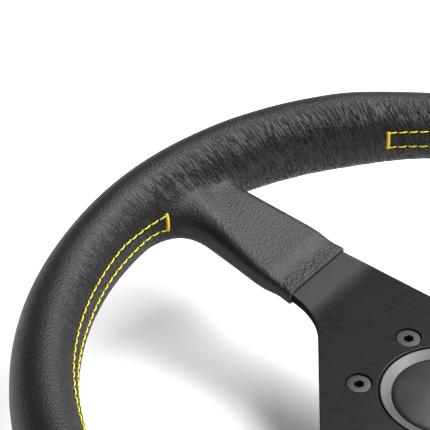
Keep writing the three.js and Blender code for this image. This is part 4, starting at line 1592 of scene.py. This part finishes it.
# %% Collar, washer, clip and small screws
collar_travel, ball_slope = 5, 0.38
ball_contact = ball_centre + ball_radius * math.hypot(1, ball_slope) + 0.05
relief = ball_contact + collar_travel * ball_slope  # here the balls may move out
collar_radius = relief + 5
collar_flange = collar_radius + 8
pocket_radius = collar_radius - 1.8
guide = barrel_radius + 0.25
middle = collar_bottom + 6.5
pocket_floor = collar_top - 5
collar = lathe("release_collar_turned", [
    (relief, collar_bottom, 0.3),
    (collar_radius, collar_bottom, 1.0),
    (collar_radius, middle - 2.5, 0.5),
    (collar_flange, middle - 2, 1.0),
    (collar_flange, middle + 2, 1.0),
    (collar_radius, middle + 2.5, 0.5),
    (collar_radius, collar_top, 0.6),
    (pocket_radius, collar_top, 0.15),
    (pocket_radius, pocket_floor, 0.2),
    (guide, pocket_floor, 0.2),
    (guide, ball_height + 0.64, 0.05),
    (relief, ball_height - 5, 0.05),
], segments=160)


def finger_notch():
    return drill(4, collar_bottom, collar_top, collar_flange + 2)


cut_away(collar, [turned_about(finger_notch(), 22.5 + a) for a in range(0, 360, 45)])
dress(shade(collar, 30), anodised_turned, "black_anodised_plate", "collar", "release_collar")
print("collar:", len(collar.data.polygons), "faces")

washer_radius, washer_bottom, washer_top = barrel_radius + 5.3, 2.1, 3.1
washer = lathe("stop_washer_turned", [
    (guide, washer_bottom, 0.1),
    (washer_radius, washer_bottom, 0.15),
    (washer_radius, washer_top, 0.15),
    (guide, washer_top, 0.1),
], segments=144)
dress(shade(washer), black_steel, "black_steel", "wheel", "stop_washer")
smooth_copy("retaining_clip", spring_steel, "spring_steel", edge=0.1)
for i in range(1, 5):
    smooth_copy(f"barrel_screw_{i}", black_steel, "black_steel", edge=0.1)
for i in range(1, 7):
    smooth_copy(f"spoke_rivet_{i}", bare_aluminium, "bare_aluminium", edge=0.1)
smooth_copy("rim_core_ring", bare_aluminium, "bare_aluminium", edge=0.3)

# %% [markdown]
# ## Springs and balls
#
# A spring is round wire along a helix: the path is a chain of points, and Geometry Nodes carry a
# circle along it. The springs stay with their bodies. The balls are polished, and each rides on its
# own moving body.

# %% Coil springs
def wire_tree(name, material):
    steps = Steps(name)
    radius = steps.input("Wire radius", 0.5 * MM)
    path = steps.node("GeometryNodeMeshToCurve", {"Mesh": steps.start.outputs["Geometry"]})
    circle = steps.node("GeometryNodeCurvePrimitiveCircle", {"Resolution": 14, "Radius": radius})
    wire = steps.node(
        "GeometryNodeCurveToMesh",
        {"Curve": path.outputs[0], "Profile Curve": circle.outputs[0], "Fill Caps": True},
    )
    return steps.finish(wire.outputs[0], material)


coiling = wire_tree("wire along a path", spring_steel)


def coil_spring(name, node, radius, wire, turns):
    """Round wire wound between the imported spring's two ends, with its last turns flat."""
    low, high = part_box(node)
    bottom, top = low.z / MM, high.z / MM
    share = np.linspace(0, 1, int(turns * 48) + 1)
    flat_end = 0.75 / turns
    lift = np.clip((share - flat_end) / (1 - 2 * flat_end), 0, 1)
    close = np.clip(share / flat_end, 0, 1) + np.clip((share - 1 + flat_end) / flat_end, 0, 1)
    climb = lift * (top - bottom - wire * 2.6) + wire * 0.8 * close
    angle = share * turns * math.tau
    height = bottom + wire / 2 + climb
    places = np.stack([radius * np.cos(angle), radius * np.sin(angle), height], axis=1)
    mesh = bpy.data.meshes.new(name)
    mesh.from_pydata(
        [tuple(p * MM) for p in places], [(i, i + 1) for i in range(len(places) - 1)], []
    )
    obj = bpy.data.objects.new(name, mesh)
    scene.collection.objects.link(obj)
    run_steps(obj, coiling, **{"Wire radius": wire / 2 * MM})
    dress(obj, spring_steel, "spring_steel", frame["nodes"][node]["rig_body"], node)
    return obj


horn_spring = coil_spring("horn_spring_coiled", "horn_spring", 7.0, 0.8, 3)
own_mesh(horn_spring)
collar_spring = coil_spring("collar_spring_coiled", "collar_spring", 23.5, 1.2, 4)
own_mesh(collar_spring)

# %% Locking balls
for i in range(6):
    node = f"lock_ball_{i + 1}"
    turn = math.radians(60 * i)
    mesh = bpy.data.meshes.new(node + "_polished")
    work = bmesh.new()
    bmesh.ops.create_uvsphere(work, u_segments=40, v_segments=24, radius=ball_radius * MM)
    centre = (ball_centre * math.cos(turn), ball_centre * math.sin(turn), ball_height)
    bmesh.ops.translate(work, verts=work.verts, vec=[c * MM for c in centre])
    work.to_mesh(mesh)
    work.free()
    ball = bpy.data.objects.new(node + "_polished", mesh)
    scene.collection.objects.link(ball)
    shade(ball)
    dress(ball, bright_steel, "bright_steel", frame["nodes"][node]["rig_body"], node)

left_over = [n for n, o in frame["nodes"].items() if not o.hide_render]
print("packed pieces still shown:", left_over)

# %% [markdown]
# ## Floor, light and colour
#
# The wheel lies on a pale floor. A large soft light stands above and behind it and a weaker one to
# its right, so the upper faces of leather and metal glow and their undersides fall dark. The floor
# is bright enough to read as white paper.

# %% Floor
def floor_finish():
    f = Finish("pale floor")
    soft = f.noise(f.place, 3, detail=2)
    f.set(Base_Color=f.mix(soft, grey(0.93), grey(0.95)), Roughness=0.5)
    f.surface.inputs["Emission Color"].default_value = (1, 1, 1, 1)
    f.surface.inputs["Emission Strength"].default_value = 0.15
    return f.material


reach = 4000
floor_corners = [(-reach, -reach, 0), (reach, -reach, 0), (reach, reach, 0), (-reach, reach, 0)]
floor = mesh_object("floor", floor_corners, [(0, 1, 2, 3)])
floor.data.materials.append(floor_finish())


# %% Lights and world
def soft_light(name, place, target, size, power):
    data = bpy.data.lights.new(name, "AREA")
    data.shape = "RECTANGLE"
    data.size, data.size_y = size
    data.energy = power
    obj = bpy.data.objects.new(name, data)
    scene.collection.objects.link(obj)
    back = (Vector(place) - Vector(target)).normalized()
    turned = back.to_track_quat("Z", "Y").to_matrix().to_4x4()
    obj.matrix_world = Matrix.Translation(place) @ turned
    return obj


soft_light("key", (0.20, 0.96, 1.40), (-0.08, 0.02, 0.06), (1.3, 1.0), 58)
soft_light("over", (0.75, 0.35, 1.35), (-0.05, 0.0, 0.05), (0.9, 0.9), 20)

world = bpy.data.worlds.new("dim studio")
world.use_nodes = True
world.node_tree.nodes["Background"].inputs["Color"].default_value = (1, 1, 1, 1)
world.node_tree.nodes["Background"].inputs["Strength"].default_value = 0.14
scene.world = world
scene.view_settings.view_transform = "Standard"
scene.view_settings.look = "None"
